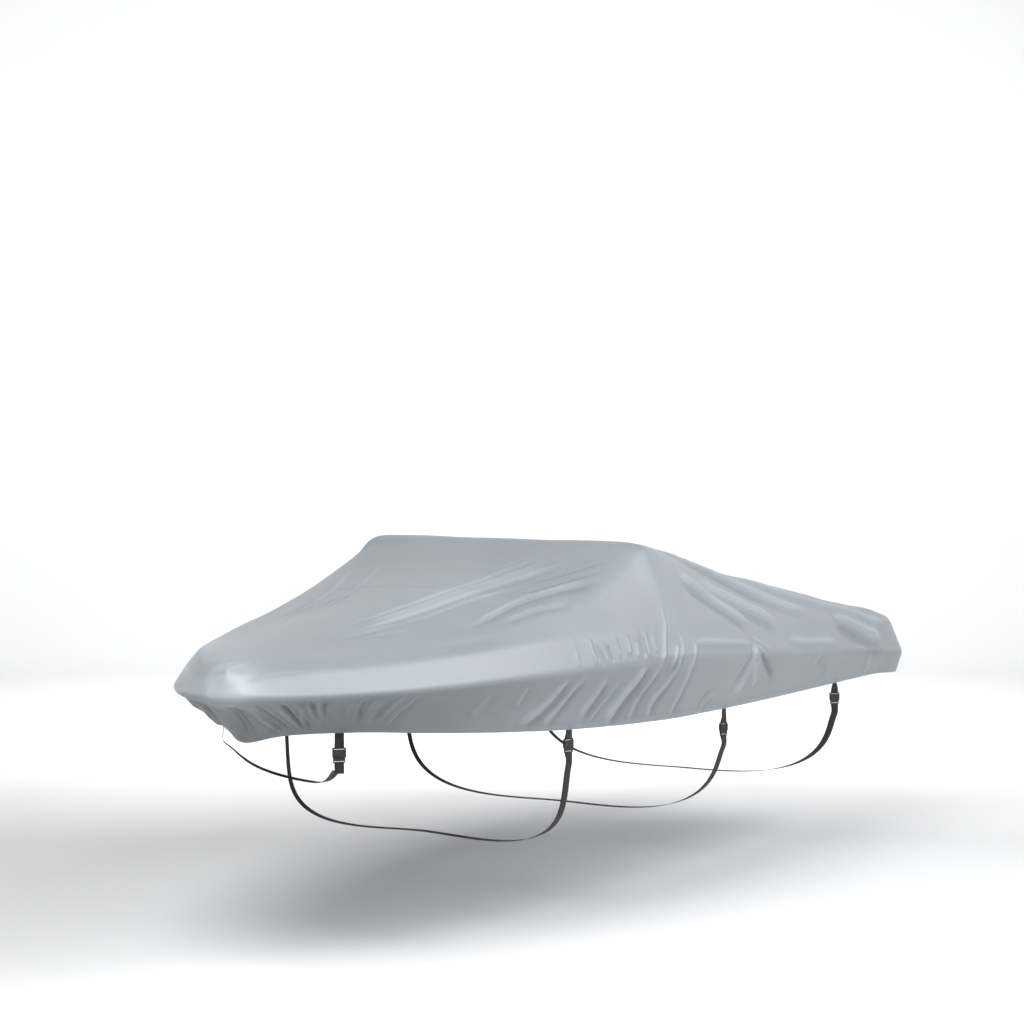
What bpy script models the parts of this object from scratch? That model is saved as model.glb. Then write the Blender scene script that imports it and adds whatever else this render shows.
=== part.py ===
"""Fitted cover for a runabout, as it hangs when drawn on: one hollow polyester sheet and four straps.

Metres, +Z up, +X towards the bow, +Y to port. The origin is on the centre plane, at the underside
of the cloth where the cover peaks. Every "drop" is a distance down from that origin.
"""
import math
from collections import namedtuple

import bmesh
import bpy
import numpy as np
from mathutils import Matrix, Vector

NAME = "boat_cover"

# Cloth
CLOTH_THICKNESS = 0.002
HEM_THICKNESS = 0.004
CROWN_SHARE = 0.45          # share of the crest's flank that its crown rounds off
WAIST_SHARE = 0.35
RIM_SHARES = (0.12, 0.08)   # above and below the rim, which stays a fairly tight fold
PEAK_LEAN = 0.012           # the peak stands this much lower at its port corner, higher at starboard
PEAK_REACH = 0.9            # how far fore and aft the lean fades out
PEAK_TUCK = 0.045           # the peak's starboard corner stands this much further in
TUCK_REACH = 0.45

# Straps
WEBBING_WIDTH = 0.038
WEBBING_THICKNESS = 0.002
GAP = 0.0003                # between pieces that touch
SEWN_LENGTH = 0.022         # webbing inside the hem
FOLDED_BACK = 0.020         # webbing sewn back on itself behind a buckle bar

# One row for each strap, from the bow. forward: where it hangs; tab: hem to the socket's bar;
# chine and keel: the turns of the long webbing, (port, drop) and drop; rake: keel aft of the hem;
# twist: turn of the buckle's face towards the bow, about the vertical.
Strap = namedtuple("Strap", "forward tab chine keel rake twist")
STRAPS = [
    Strap(1.630, 0.060, (0.225, 0.900), 0.985, 0.25, 0.0),
    Strap(0.630, 0.040, (0.715, 1.165), 1.290, 0.0, 0.0),
    Strap(-0.570, 0.070, (0.865, 1.115), 1.310, 0.0, 0.22),
    Strap(-1.930, 0.055, (0.885, 1.070), 1.300, 0.0, 0.80),
]

# Buckle, in its own frame: across the webbing, down from the socket's bar, and out from the cover
BUCKLE_HALF_WIDTH = 0.027
BUCKLE_HALF_DEPTH = 0.0065
BAR_HALF = 0.0015
BAR_LENGTH_HALF = 0.021
EAR_HALF_DEPTH = 0.003
SLOT_END = 0.009            # far side of a webbing slot from its bar
MOUTH = 0.038               # the socket's open end
CAVITY_START = 0.013
CAVITY_HALF = (0.022, 0.004)
WINDOW = (0.018, 0.028)
WINDOW_HALF_DEPTH = 0.0034
PLUG_HALF_WIDTH = 0.024
PLUG_HALF_DEPTH = 0.005
PLUG_BAR = 0.058            # the plug's bar from the socket's bar
ARM_HALF_DEPTH = 0.003
TONGUE = (0.004, 0.016)     # half width, and where its tip lies
LOOP_RADIUS = BAR_HALF * math.sqrt(2) + 0.0005 + WEBBING_THICKNESS / 2
EDGE_ROUNDING = 0.0015

# One row for each rib, from the middle of the stern round the port side to the stem. Points are
# (forward, port, drop); the crest lies on the centre plane, so it is (forward, drop).
Rib = namedtuple("Rib", "name crest shoulder waist rim hem rounding flare")
RIBS = [
    Rib("stern middle", (-2.700, 0.396), (-2.780, 0.000, 0.406), (-2.880, 0.000, 0.456),
        (-2.955, 0.000, 0.676), (-2.945, 0.000, 0.781), 0.45, 0.000),
    Rib("stern quarter", (-2.690, 0.396), (-2.770, 0.420, 0.409), (-2.875, 0.450, 0.461),
        (-2.950, 0.520, 0.676), (-2.940, 0.510, 0.781), 0.45, 0.000),
    Rib("stern corner", (-2.640, 0.391), (-2.740, 0.740, 0.406), (-2.865, 0.870, 0.479),
        (-2.925, 0.935, 0.677), (-2.910, 0.905, 0.791), 0.45, 0.000),
    Rib("quarter", (-2.450, 0.370), (-2.450, 0.785, 0.376), (-2.500, 0.930, 0.471),
        (-2.550, 0.970, 0.651), (-2.550, 0.930, 0.778), 0.40, 0.002),
    Rib("aft", (-2.000, 0.318), (-2.000, 0.745, 0.308), (-2.000, 0.930, 0.421),
        (-2.000, 0.982, 0.616), (-2.000, 0.935, 0.782), 0.40, 0.004),
    Rib("aft middle", (-1.400, 0.228), (-1.400, 0.725, 0.213), (-1.400, 0.940, 0.416),
        (-1.400, 0.992, 0.581), (-1.400, 0.935, 0.791), 0.36, 0.006),
    Rib("middle", (-0.800, 0.126), (-0.800, 0.715, 0.113), (-0.800, 0.950, 0.406),
        (-0.800, 1.000, 0.544), (-0.800, 0.930, 0.799), 0.30, 0.008),
    Rib("peak flank", (-0.350, 0.040), (-0.350, 0.735, 0.032), (-0.350, 0.950, 0.391),
        (-0.350, 0.998, 0.522), (-0.350, 0.920, 0.802), 0.24, 0.008),
    Rib("peak aft", (-0.100, 0.006), (-0.100, 0.775, -0.002), (-0.100, 0.945, 0.383),
        (-0.100, 0.992, 0.514), (-0.100, 0.910, 0.803), 0.16, 0.008),
    Rib("peak", (0.000, -0.002), (0.000, 0.785, -0.005), (0.000, 0.940, 0.381),
        (0.000, 0.985, 0.512), (0.000, 0.900, 0.803), 0.14, 0.008),
    Rib("peak fore", (0.100, 0.030), (0.100, 0.760, 0.045), (0.100, 0.930, 0.385),
        (0.100, 0.972, 0.513), (0.100, 0.885, 0.802), 0.18, 0.008),
    Rib("foredeck aft", (0.300, 0.100), (0.300, 0.730, 0.125), (0.300, 0.900, 0.396),
        (0.300, 0.935, 0.519), (0.300, 0.845, 0.801), 0.28, 0.010),
    Rib("foredeck", (0.800, 0.222), (0.800, 0.645, 0.272), (0.800, 0.780, 0.411),
        (0.800, 0.825, 0.536), (0.800, 0.715, 0.788), 0.40, 0.014),
    Rib("foredeck fore", (1.250, 0.312), (1.250, 0.550, 0.356), (1.250, 0.630, 0.441),
        (1.250, 0.665, 0.559), (1.250, 0.520, 0.763), 0.42, 0.018),
    Rib("bow", (1.600, 0.378), (1.600, 0.395, 0.402), (1.600, 0.475, 0.468),
        (1.600, 0.515, 0.569), (1.600, 0.325, 0.739), 0.42, 0.022),
    Rib("bow shoulder", (1.800, 0.418), (1.820, 0.235, 0.431), (1.850, 0.305, 0.483),
        (1.870, 0.345, 0.573), (1.780, 0.130, 0.748), 0.42, 0.026),
    Rib("bow round", (1.900, 0.436), (1.940, 0.100, 0.449), (1.995, 0.135, 0.493),
        (2.028, 0.170, 0.573), (1.845, 0.035, 0.772), 0.42, 0.026),
    Rib("stem", (1.930, 0.441), (1.970, 0.000, 0.453), (2.025, 0.000, 0.498),
        (2.078, 0.000, 0.573), (1.865, 0.000, 0.781), 0.42, 0.026),
]
HemFrame = namedtuple("HemFrame", "along head course up out warp")
CREST, SHOULDER, WAIST, RIM, HEM = range(5)   # girth: whole numbers lie on these lines
ARC_STEPS = 8                                 # points along each rounded corner of a section

# Main folds: ridges (height over 0) and troughs. "along" is metres along the rim from the middle of
# the stern, "girth" runs from 0 at the crest to 4 at the hem. side is 1 to port, -1 to starboard.
Fold = namedtuple("Fold", "side start end width height")
FOLDS = [
    # fan from the peak's port corner over the foredeck
    Fold(1, (3.97, 0.92), (5.42, 0.53), 0.065, 0.012),
    Fold(1, (4.03, 1.00), (5.25, 0.78), 0.060, -0.008),
    Fold(1, (4.09, 1.13), (4.97, 1.02), 0.060, 0.012),
    Fold(1, (4.01, 0.60), (4.69, 0.28), 0.070, 0.008),
    Fold(1, (4.22, 1.32), (4.80, 1.30), 0.060, 0.010),
    # ruffles over the rim, running on down the skirt
    Fold(1, (3.80, 2.10), (3.88, 3.03), 0.060, 0.010),
    Fold(1, (4.03, 1.90), (4.07, 3.00), 0.060, 0.011),
    Fold(1, (4.22, 1.95), (4.20, 3.00), 0.055, 0.009),
    Fold(1, (4.42, 2.00), (4.45, 2.97), 0.055, 0.008),
    Fold(1, (3.80, 3.00), (3.97, 3.95), 0.065, 0.012),
    Fold(1, (3.99, 3.05), (4.20, 3.95), 0.065, 0.012),
    Fold(1, (4.20, 3.15), (4.42, 3.97), 0.065, 0.011),
    Fold(1, (4.60, 3.10), (4.76, 3.90), 0.065, 0.008),
    Fold(1, (3.47, 3.15), (3.57, 3.82), 0.060, 0.008),
    # folds from the peak's port corner to the stern, and the one over the port quarter
    Fold(1, (3.72, 1.18), (3.11, 2.08), 0.080, 0.018),
    Fold(1, (3.39, 1.32), (2.72, 1.63), 0.085, 0.014),
    Fold(1, (3.13, 1.10), (2.33, 1.88), 0.090, 0.014),
    Fold(1, (2.93, 1.15), (2.10, 1.45), 0.090, 0.010),
    Fold(1, (1.95, 1.95), (1.22, 2.50), 0.090, 0.014),
    # pucker above the third strap
    Fold(1, (3.08, 2.70), (3.50, 3.90), 0.080, 0.012),
    Fold(1, (3.12, 2.60), (2.78, 3.55), 0.080, 0.010),
    # gathers of the bow skirt
    Fold(1, (6.12, 3.10), (5.88, 3.85), 0.045, 0.006),
    Fold(1, (5.92, 3.10), (5.76, 3.85), 0.045, 0.006),
    Fold(1, (5.40, 3.15), (5.45, 3.85), 0.060, 0.006),
    # starboard: the same kinds of fold, pulled a little differently
    Fold(-1, (3.95, 0.95), (5.30, 0.60), 0.065, 0.011),
    Fold(-1, (4.10, 1.10), (5.05, 0.98), 0.060, 0.011),
    Fold(-1, (4.25, 1.35), (4.90, 1.35), 0.065, 0.009),
    Fold(-1, (3.95, 2.00), (3.98, 3.00), 0.060, 0.010),
    Fold(-1, (4.30, 1.95), (4.30, 3.00), 0.060, 0.010),
    Fold(-1, (3.92, 3.05), (4.08, 3.95), 0.065, 0.011),
    Fold(-1, (4.15, 3.05), (4.34, 3.95), 0.065, 0.011),
    Fold(-1, (4.48, 3.10), (4.66, 3.90), 0.065, 0.008),
    Fold(-1, (3.70, 1.20), (3.00, 2.00), 0.080, 0.017),
    Fold(-1, (3.30, 1.25), (2.50, 1.70), 0.090, 0.013),
    Fold(-1, (2.90, 1.10), (2.05, 1.75), 0.090, 0.012),
    Fold(-1, (2.00, 1.90), (1.25, 2.40), 0.090, 0.013),
    Fold(-1, (2.95, 2.70), (3.30, 3.85), 0.080, 0.010),
    Fold(-1, (6.05, 3.10), (5.85, 3.85), 0.045, 0.006),
    Fold(-1, (5.80, 3.10), (5.70, 3.85), 0.045, 0.006),
]

# Grid of the sheet: how many columns each stretch of the rim gets, and where the rows lie
Stretch = namedtuple("Stretch", "end columns")
HEM_BAND = 0.12             # girth of the turned hem
STRAP_BAY = WEBBING_WIDTH / 2 + 0.006   # half the flat stretch of hem at a strap
STRETCHES = [Stretch(1.05, 8), Stretch(3.40, 16), Stretch(4.90, 23), Stretch(5.55, 6), Stretch(None, 10)]
ROWS = [0.0, 0.25, 0.5, 0.75, 1.0, 1.25, 1.5, 1.75, 2.0, 2.35, 2.7, 3.0, 3.3, 3.6, HEM - HEM_BAND, HEM]


def spline(knots, points, at):
    """Cubic through the points, read at the given distances along the knots."""
    spans = np.diff(knots)
    slopes = np.diff(points, axis=0) / spans[:, None]
    tangents = np.zeros_like(points)
    tangents[0] = slopes[0]
    tangents[-1] = slopes[-1]
    before, after = spans[:-1, None], spans[1:, None]
    tangents[1:-1] = (slopes[:-1] * after + slopes[1:] * before) / (before + after)
    k = np.clip(np.searchsorted(knots, at, side="right") - 1, 0, len(knots) - 2)
    span = spans[k][:, None]
    s = ((at - knots[k]) / spans[k])[:, None]
    return ((2 * s**3 - 3 * s**2 + 1) * points[k] + (s**3 - 2 * s**2 + s) * span * tangents[k]
            + (3 * s**2 - 2 * s**3) * points[k + 1] + (s**3 - s**2) * span * tangents[k + 1])


def unit(vectors):
    return vectors / np.maximum(np.linalg.norm(vectors, axis=-1, keepdims=True), 1e-9)


def guide_lines():
    """The crest, shoulder, waist, rim and hem through all ribs, and the rim's length up to each rib."""
    lines = []
    for rib in RIBS:
        crest = (rib.crest[0], 0.0, rib.crest[1])
        lines.append([crest, rib.shoulder, rib.waist, rib.rim, rib.hem])
    lines = np.array(lines) * np.array([1.0, 1.0, -1.0])
    steps = np.linalg.norm(np.diff(lines[:, RIM], axis=0), axis=1)
    return lines, np.concatenate([[0.0], np.cumsum(steps)])


def rounded(before, corner, after, reach_in, reach_out):
    """Arc that rounds one corner of every section, as ARC_STEPS + 1 rows of points."""
    start = corner + unit(before - corner) * reach_in[:, None]
    end = corner + unit(after - corner) * reach_out[:, None]
    s = np.linspace(0.0, 1.0, ARC_STEPS + 1)[:, None, None]
    return (1 - s)**2 * start + 2 * s * (1 - s) * corner + s**2 * end


def outward(lines, knots, along):
    """Level unit vector that points out of the cover at each place along the rim."""
    step = 0.01
    ahead = spline(knots, lines[:, RIM], np.minimum(along + step, knots[-1]))
    behind = spline(knots, lines[:, RIM], np.maximum(along - step, 0.0))
    course = ahead - behind
    return unit(np.stack([-course[:, 1], course[:, 0], np.zeros(len(along))], axis=1))


def sections(along):
    """Half sections of the cover, crest to hem, and the row where each band begins."""
    lines, knots = guide_lines()
    crest, shoulder, waist, rim, hem = [spline(knots, lines[:, k], along) for k in range(5)]
    shares = np.array([(rib.rounding, rib.flare) for rib in RIBS])
    rounding, flare = spline(knots, shares, along).T
    flank = np.linalg.norm(shoulder - crest, axis=1)
    side = np.linalg.norm(waist - shoulder, axis=1)
    band = np.linalg.norm(rim - waist, axis=1)
    skirt = np.linalg.norm(hem - rim, axis=1)
    opposite = shoulder * np.array([1.0, -1.0, 1.0])
    crown = rounded(opposite, crest, shoulder, CROWN_SHARE * flank, CROWN_SHARE * flank)
    arcs = [crown[ARC_STEPS // 2:],
            rounded(crest, shoulder, waist, rounding * flank, rounding * side),
            rounded(shoulder, waist, rim, WAIST_SHARE * side, WAIST_SHARE * band),
            rounded(waist, rim, hem, RIM_SHARES[0] * band, RIM_SHARES[1] * skirt)]
    s = np.linspace(0.0, 1.0, ARC_STEPS + 1)[1:, None, None]
    top = arcs[-1][-1]
    hollow = outward(lines, knots, along) * flare[:, None]
    arcs.append(top + (hem - top) * s - hollow * 4 * s * (1 - s))
    half, whole = ARC_STEPS // 2, ARC_STEPS + 1
    marks = [0, half + 1 + half, half + 1 + whole + half, half + 1 + 2 * whole + half,
             half + 3 * whole + ARC_STEPS]
    return np.concatenate(arcs), marks


def sheet_points(along, girth):
    """Outer face of the port half without folds, a row of points for each place along the rim."""
    outline, marks = sections(along)
    steps = np.linalg.norm(np.diff(outline, axis=0), axis=2)
    lengths = np.concatenate([np.zeros((1, len(along))), np.cumsum(steps, axis=0)])
    points = np.empty((len(along), len(girth), 3))
    for column in range(len(along)):
        wanted = np.interp(girth, range(5), lengths[marks, column])
        for axis in range(3):
            points[column, :, axis] = np.interp(wanted, lengths[:, column], outline[:, column, axis])
    return points


def leant(points, side):
    """The same points with the peak lower at its port corner, higher and narrower at the other."""
    outwards = points[..., 1] / 0.75 * np.clip(1 + points[..., 2] / 0.4, 0, 1)
    lean = np.clip(1 - (points[..., 0] / PEAK_REACH)**2, 0, 1)**2
    tuck = np.clip(1 - (points[..., 0] / TUCK_REACH)**2, 0, 1)**2
    shifted = points.copy()
    shifted[..., 2] -= side * PEAK_LEAN * outwards * lean
    shifted[..., 1] -= (1 - side) / 2 * PEAK_TUCK * outwards * tuck
    return shifted


def normals_of(points):
    course = np.gradient(points, axis=0)
    fall = np.gradient(points, axis=1)
    return unit(np.cross(course, fall))


def fold_relief(points, side, straps):
    """How far each point stands out with the folds: a ridge is positive, a trough negative."""
    relief = np.zeros(points.shape[:2])
    s = np.linspace(0.0, 1.0, 13)
    for fold in FOLDS:
        if fold.side != side:
            continue
        along = fold.start[0] + (fold.end[0] - fold.start[0]) * s
        girth = fold.start[1] + (fold.end[1] - fold.start[1]) * s
        path = sheet_points(along, girth)[range(len(s)), range(len(s))]
        offsets = np.linalg.norm(points[:, :, None] - path, axis=3)
        nearest = offsets.argmin(axis=2)
        fade = np.clip(np.minimum(s, 1 - s) / 0.25, 0, 1)[nearest]
        spread = np.clip(offsets.min(axis=2) / fold.width, 0, 1)
        relief += fold.height * fade * np.cos(spread * math.pi / 2)**2
    centre_fade = np.clip(np.abs(points[..., 1]) / 0.12, 0, 1)
    for strap in straps:
        reach = np.linalg.norm(points - strap, axis=2) / 0.09
        centre_fade = centre_fade * np.clip(reach - 0.4, 0, 1)
    return relief * centre_fade


def hem_frame(forward):
    """Where a strap at this place meets the port hem: place along the rim, head, course, up and out.

    The head is the middle of the plain stretch of hem between the grid's columns on either side,
    and warp is how far that stretch strays from flat.
    """
    lines, knots = guide_lines()
    tries = np.linspace(1.1, knots[-1] - 0.2, 800)
    hems = sheet_points(tries, np.array([HEM]))[:, 0]
    along = np.interp(forward, hems[:, 0], tries)
    near = np.array([along - STRAP_BAY, along + STRAP_BAY])
    corners = sheet_points(near, np.array([HEM - HEM_BAND, HEM]))
    head = corners[:, 1].mean(axis=0)
    course = unit(corners[1, 1] - corners[0, 1])
    up = unit(corners[:, 0].mean(axis=0) - head)
    out = unit(np.cross(up, course))
    warp = np.abs((corners - head) @ out).max()
    return HemFrame(along, head, course, up, out, warp)


def column_places(strap_places):
    """Places along the rim of the grid's columns, with one at each edge of every strap."""
    lines, knots = guide_lines()
    places = []
    start = 0.0
    for stretch in STRETCHES:
        end = stretch.end or knots[-1]
        places += list(np.linspace(start, end, stretch.columns, endpoint=False))
        start = end
    places.append(knots[-1])
    for place in strap_places:
        places = [p for p in places if abs(p - place) > 1.8 * STRAP_BAY]
        places += [place - STRAP_BAY, place + STRAP_BAY]
    return np.array(sorted(places))


def cover_sheet(collection, hem_frames):
    """The cloth: both halves of the grid as one open surface, thickened inwards."""
    places = column_places([frame.along for frame in hem_frames])
    base = sheet_points(places, np.array(ROWS))
    halves = []
    for side in (1, -1):
        points = leant(base, side)
        heads = [frame.head for frame in hem_frames]
        relief = fold_relief(points, side, heads)
        folded = points + normals_of(base) * relief[..., None]
        halves.append(folded * np.array([1.0, side, 1.0]))
    mesh = bpy.data.meshes.new("cover_cloth")
    sheet = bmesh.new()
    columns, rows = base.shape[:2]
    verts = {}
    for side, points in enumerate(halves):
        for i in range(columns):
            for j in range(rows):
                shared = j == 0 or i in (0, columns - 1)
                key = (0 if shared else side, i, j)
                if key not in verts:
                    verts[key] = sheet.verts.new(points[i, j])
    hem_verts = []
    for side in (0, 1):
        def vert(i, j):
            return verts.get((side, i, j)) or verts[(0, i, j)]
        for i in range(columns - 1):
            for j in range(rows - 1):
                corners = [vert(i, j), vert(i + 1, j), vert(i + 1, j + 1), vert(i, j + 1)]
                sheet.faces.new(corners if side == 0 else corners[::-1])
    for (_, i, j), vertex in verts.items():
        if ROWS[j] >= HEM - HEM_BAND:
            hem_verts.append(vertex)
    sheet.verts.index_update()
    hem_indices = [vertex.index for vertex in hem_verts]
    sheet.to_mesh(mesh)
    sheet.free()
    mesh.shade_smooth()
    cloth = bpy.data.objects.new("cover_cloth", mesh)
    collection.objects.link(cloth)
    everywhere = cloth.vertex_groups.new(name="thickness")
    everywhere.add(range(len(mesh.vertices)), CLOTH_THICKNESS / HEM_THICKNESS, "REPLACE")
    everywhere.add(hem_indices, 1.0, "REPLACE")
    solidify = cloth.modifiers.new("thickness", "SOLIDIFY")
    solidify.thickness = HEM_THICKNESS
    solidify.vertex_group = "thickness"
    solidify.offset = -1.0
    return cloth


def ribbon(name, collection, path, acrosses):
    """Flat webbing swept along a path; acrosses are the directions of its width at each point."""
    path = np.array(path)
    courses = unit(np.gradient(path, axis=0))
    across = unit(np.array(acrosses) - courses * np.sum(np.array(acrosses) * courses, axis=1)[:, None])
    face = np.cross(courses, across)
    mesh = bpy.data.meshes.new(name)
    band = bmesh.new()
    rings = []
    for point, wide, thick in zip(path, across, face):
        half_width = wide * WEBBING_WIDTH / 2
        half_depth = thick * WEBBING_THICKNESS / 2
        corners = [half_width + half_depth, half_depth - half_width,
                   -half_width - half_depth, half_width - half_depth]
        rings.append([band.verts.new(point + corner) for corner in corners])
    for ring, after in zip(rings, rings[1:]):
        for k in range(4):
            band.faces.new([ring[k], after[k], after[k - 3], ring[k - 3]])
    band.faces.new(rings[0])
    band.faces.new(rings[-1][::-1])
    bmesh.ops.recalc_face_normals(band, faces=band.faces)
    band.to_mesh(mesh)
    band.free()
    strap = bpy.data.objects.new(name, mesh)
    collection.objects.link(strap)
    return strap


def smooth_route(points, spacing):
    """The same route as a smooth curve with points about this far apart."""
    points = np.array(points)
    knots = np.concatenate([[0.0], np.cumsum(np.linalg.norm(np.diff(points, axis=0), axis=1))])
    count = max(int(knots[-1] / spacing), 2)
    return spline(knots, points, np.linspace(0.0, knots[-1], count + 1))


def box(low, high, rounding=0.0):
    """Box between two corners, as a bmesh primitive with its edges rounded."""
    low, high = Vector(low), Vector(high)
    size = Vector([abs(extent) for extent in high - low])
    solid = bmesh.new()
    middle = Matrix.Translation((low + high) / 2)
    bmesh.ops.create_cube(solid, size=1.0, matrix=middle @ Matrix.Diagonal((*size, 1.0)))
    if rounding:
        bmesh.ops.bevel(solid, geom=solid.edges[:], offset=rounding, segments=1, affect="EDGES")
    return solid


def plate(outline, half_depth):
    """Flat piece with the given outline, as thick as twice the half depth."""
    solid = bmesh.new()
    face = solid.faces.new([solid.verts.new((u, v, -half_depth)) for u, v in outline])
    grown = bmesh.ops.extrude_face_region(solid, geom=[face])
    top = [item for item in grown["geom"] if isinstance(item, bmesh.types.BMVert)]
    bmesh.ops.translate(solid, verts=top, vec=(0.0, 0.0, 2 * half_depth))
    bmesh.ops.recalc_face_normals(solid, faces=solid.faces)
    return solid


def carved(name, body, added, removed):
    """Mesh of a body with some solids joined to it and others cut away."""
    tools = bpy.data.collections.new(name + "_tools")
    bpy.context.scene.collection.children.link(tools)
    pieces = []
    for solid in [body] + added + removed:
        mesh = bpy.data.meshes.new(name)
        solid.to_mesh(mesh)
        solid.free()
        piece = bpy.data.objects.new(name, mesh)
        tools.objects.link(piece)
        pieces.append(piece)
    main = pieces[0]
    for index, piece in enumerate(pieces[1:]):
        cut = main.modifiers.new("shape", "BOOLEAN")
        cut.object = piece
        cut.operation = "UNION" if index < len(added) else "DIFFERENCE"
    view = bpy.context.evaluated_depsgraph_get()
    result = bpy.data.meshes.new_from_object(main.evaluated_get(view))
    result.name = name
    for piece in pieces:
        bpy.data.objects.remove(piece)
    bpy.data.collections.remove(tools)
    return result


def bar_cuts(bar, slot_end, half_depth):
    """Cuts around a webbing bar: its slot, and the thinner ears and bar on both faces."""
    past = 0.002
    away = 1 if slot_end > bar else -1
    wide, long = BUCKLE_HALF_WIDTH + past, BAR_LENGTH_HALF
    outer, near = bar - away * (BAR_HALF + past), bar + away * BAR_HALF
    cuts = [box((-long, near, -half_depth - past), (long, slot_end, half_depth + past))]
    for sign in (1, -1):
        face = sign * (half_depth + past)
        cuts.append(box((-wide, outer, sign * EAR_HALF_DEPTH), (wide, slot_end - away * 0.001, face)))
        cuts.append(box((-long, outer, sign * BAR_HALF), (long, near + away * 0.001, face)))
    return cuts


def socket_mesh():
    wide, deep = BUCKLE_HALF_WIDTH, BUCKLE_HALF_DEPTH
    body = box((-wide, -BAR_HALF, -deep), (wide, MOUTH, deep), EDGE_ROUNDING)
    cavity_wide, cavity_deep = CAVITY_HALF
    cuts = bar_cuts(0.0, SLOT_END, deep)
    cuts.append(box((-cavity_wide, CAVITY_START, -cavity_deep), (cavity_wide, MOUTH + 0.002, cavity_deep)))
    for sign in (1, -1):
        inner, outer = sign * (cavity_wide - 0.001), sign * (wide + 0.002)
        cuts.append(box((inner, WINDOW[0], -WINDOW_HALF_DEPTH), (outer, WINDOW[1], WINDOW_HALF_DEPTH)))
    return carved("buckle_socket", body, [], cuts)


def plug_mesh():
    wide, deep = PLUG_HALF_WIDTH, PLUG_HALF_DEPTH
    start = MOUTH + GAP
    root = start + 0.002
    base = box((-wide, start, -deep), (wide, PLUG_BAR + BAR_HALF, deep), EDGE_ROUNDING)
    shoulder = WINDOW[1] - GAP
    arm = [(0.013, root), (0.020, root), (0.021, shoulder), (0.0264, shoulder), (0.0264, 0.0250),
           (0.0216, 0.0186), (0.0190, 0.0150), (0.0150, 0.0150), (0.0130, 0.0190)]
    tongue_wide, tip = TONGUE
    tongue = [(-tongue_wide, root), (-tongue_wide, tip), (tongue_wide, tip), (tongue_wide, root)]
    arms = [plate([(sign * u, v) for u, v in arm], ARM_HALF_DEPTH) for sign in (1, -1)]
    added = arms + [plate(tongue, ARM_HALF_DEPTH)]
    return carved("buckle_plug", base, added, bar_cuts(PLUG_BAR, PLUG_BAR - SLOT_END, deep))


def loop_points(anchor, out, turn, length):
    """Webbing round a bar, from its front layer at the anchor to the end sewn back behind it.

    turn is -1 where the loop passes under the bar, 1 where it passes over it.
    """
    up = np.array([0.0, 0.0, 1.0])
    points = []
    for step in range(7):
        angle = math.pi * step / 6
        back = out * LOOP_RADIUS * (1 - math.cos(angle))
        points.append(anchor - back + up * turn * LOOP_RADIUS * math.sin(angle))
    points.append(anchor - out * 1.5 * LOOP_RADIUS - up * turn * 0.4 * length)
    points.append(anchor - out * (WEBBING_THICKNESS + 2 * GAP) - up * turn * length)
    return points


def sewn_end(frame, inside):
    """Webbing's last points inside the hem, from its tip down to just below the hem."""
    foot = frame.head - frame.out * inside
    return [foot + frame.up * SEWN_LENGTH, foot + frame.up * SEWN_LENGTH / 2, foot + frame.up * 0.001,
            foot - np.array([0.0, 0.0, 0.008])]


def mirrored(points):
    return [point * np.array([1.0, -1.0, 1.0]) for point in points]


def blend(first, second, share):
    """Unit direction part of the way from one to the other."""
    return unit(first * (1 - share) + second * share)


def strap_pieces(number, strap, frame, collection, meshes):
    """One strap: tab and buckle on the port side, long webbing round to the starboard hem."""
    inside = HEM_THICKNESS + frame.warp + GAP + WEBBING_THICKNESS / 2
    down = np.array([0.0, 0.0, -1.0])
    course = unit(frame.course * np.array([1.0, 1.0, 0.0]))
    turned = np.array(Matrix.Rotation(-strap.twist, 3, "Z") @ Vector(course))
    out = unit(np.cross(turned, down))
    start = sewn_end(frame, inside)
    hang = start[-1] * np.array([1.0, 1.0, 0.0])
    anchor = hang + down * (strap.tab - frame.head[2])
    loop = loop_points(anchor, out, -1, FOLDED_BACK)
    path = start + [anchor + down * -0.022, anchor + down * -0.012] + loop
    acrosses = [course] * len(start) + [blend(course, turned, 0.7)] + [turned] * (len(loop) + 1)
    tab = ribbon(f"strap_{number}_tab", collection, path, acrosses)

    axes = Matrix((turned, down, out)).transposed().to_4x4()
    place = Matrix.Translation(anchor - out * LOOP_RADIUS) @ axes
    for kind in ("socket", "plug"):
        piece = bpy.data.objects.new(f"strap_{number}_{kind}", meshes[kind])
        piece.matrix_world = place
        collection.objects.link(piece)

    bar = anchor + down * PLUG_BAR
    loop = loop_points(bar, out, 1, FOLDED_BACK)[::-1]
    chine = np.array([strap.forward - 0.35 * strap.rake, strap.chine[0], -strap.chine[1]])
    keel = np.array([strap.forward - strap.rake, 0.0, -strap.keel])
    end = mirrored(start[::-1])
    route = [bar + down * 0.040, chine, keel, chine * np.array([1.0, -1.0, 1.0]), end[0] + down * 0.060]
    middle = list(smooth_route(route, 0.05))
    path = loop + [bar + down * 0.015] + middle + [end[0] + down * 0.020] + end
    level = np.array([1.0, 0.0, 0.0])
    opposite = course * np.array([1.0, -1.0, 1.0])
    acrosses = [turned] * (len(loop) + 1)
    for share in np.linspace(0.0, 2.0, len(middle)):
        ahead = blend(turned, level, share) if share < 1 else blend(level, opposite, share - 1)
        acrosses.append(ahead)
    acrosses += [opposite] * (len(end) + 1)
    long_webbing = ribbon(f"strap_{number}_webbing", collection, path, acrosses)
    return [tab, long_webbing]


def plastic(name, colour, roughness):
    material = bpy.data.materials.new(name)
    material.use_nodes = True
    shader = material.node_tree.nodes["Principled BSDF"]
    shader.inputs["Base Color"].default_value = (*colour, 1.0)
    shader.inputs["Roughness"].default_value = roughness
    shader.inputs["Metallic"].default_value = 0.0
    return material


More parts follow.
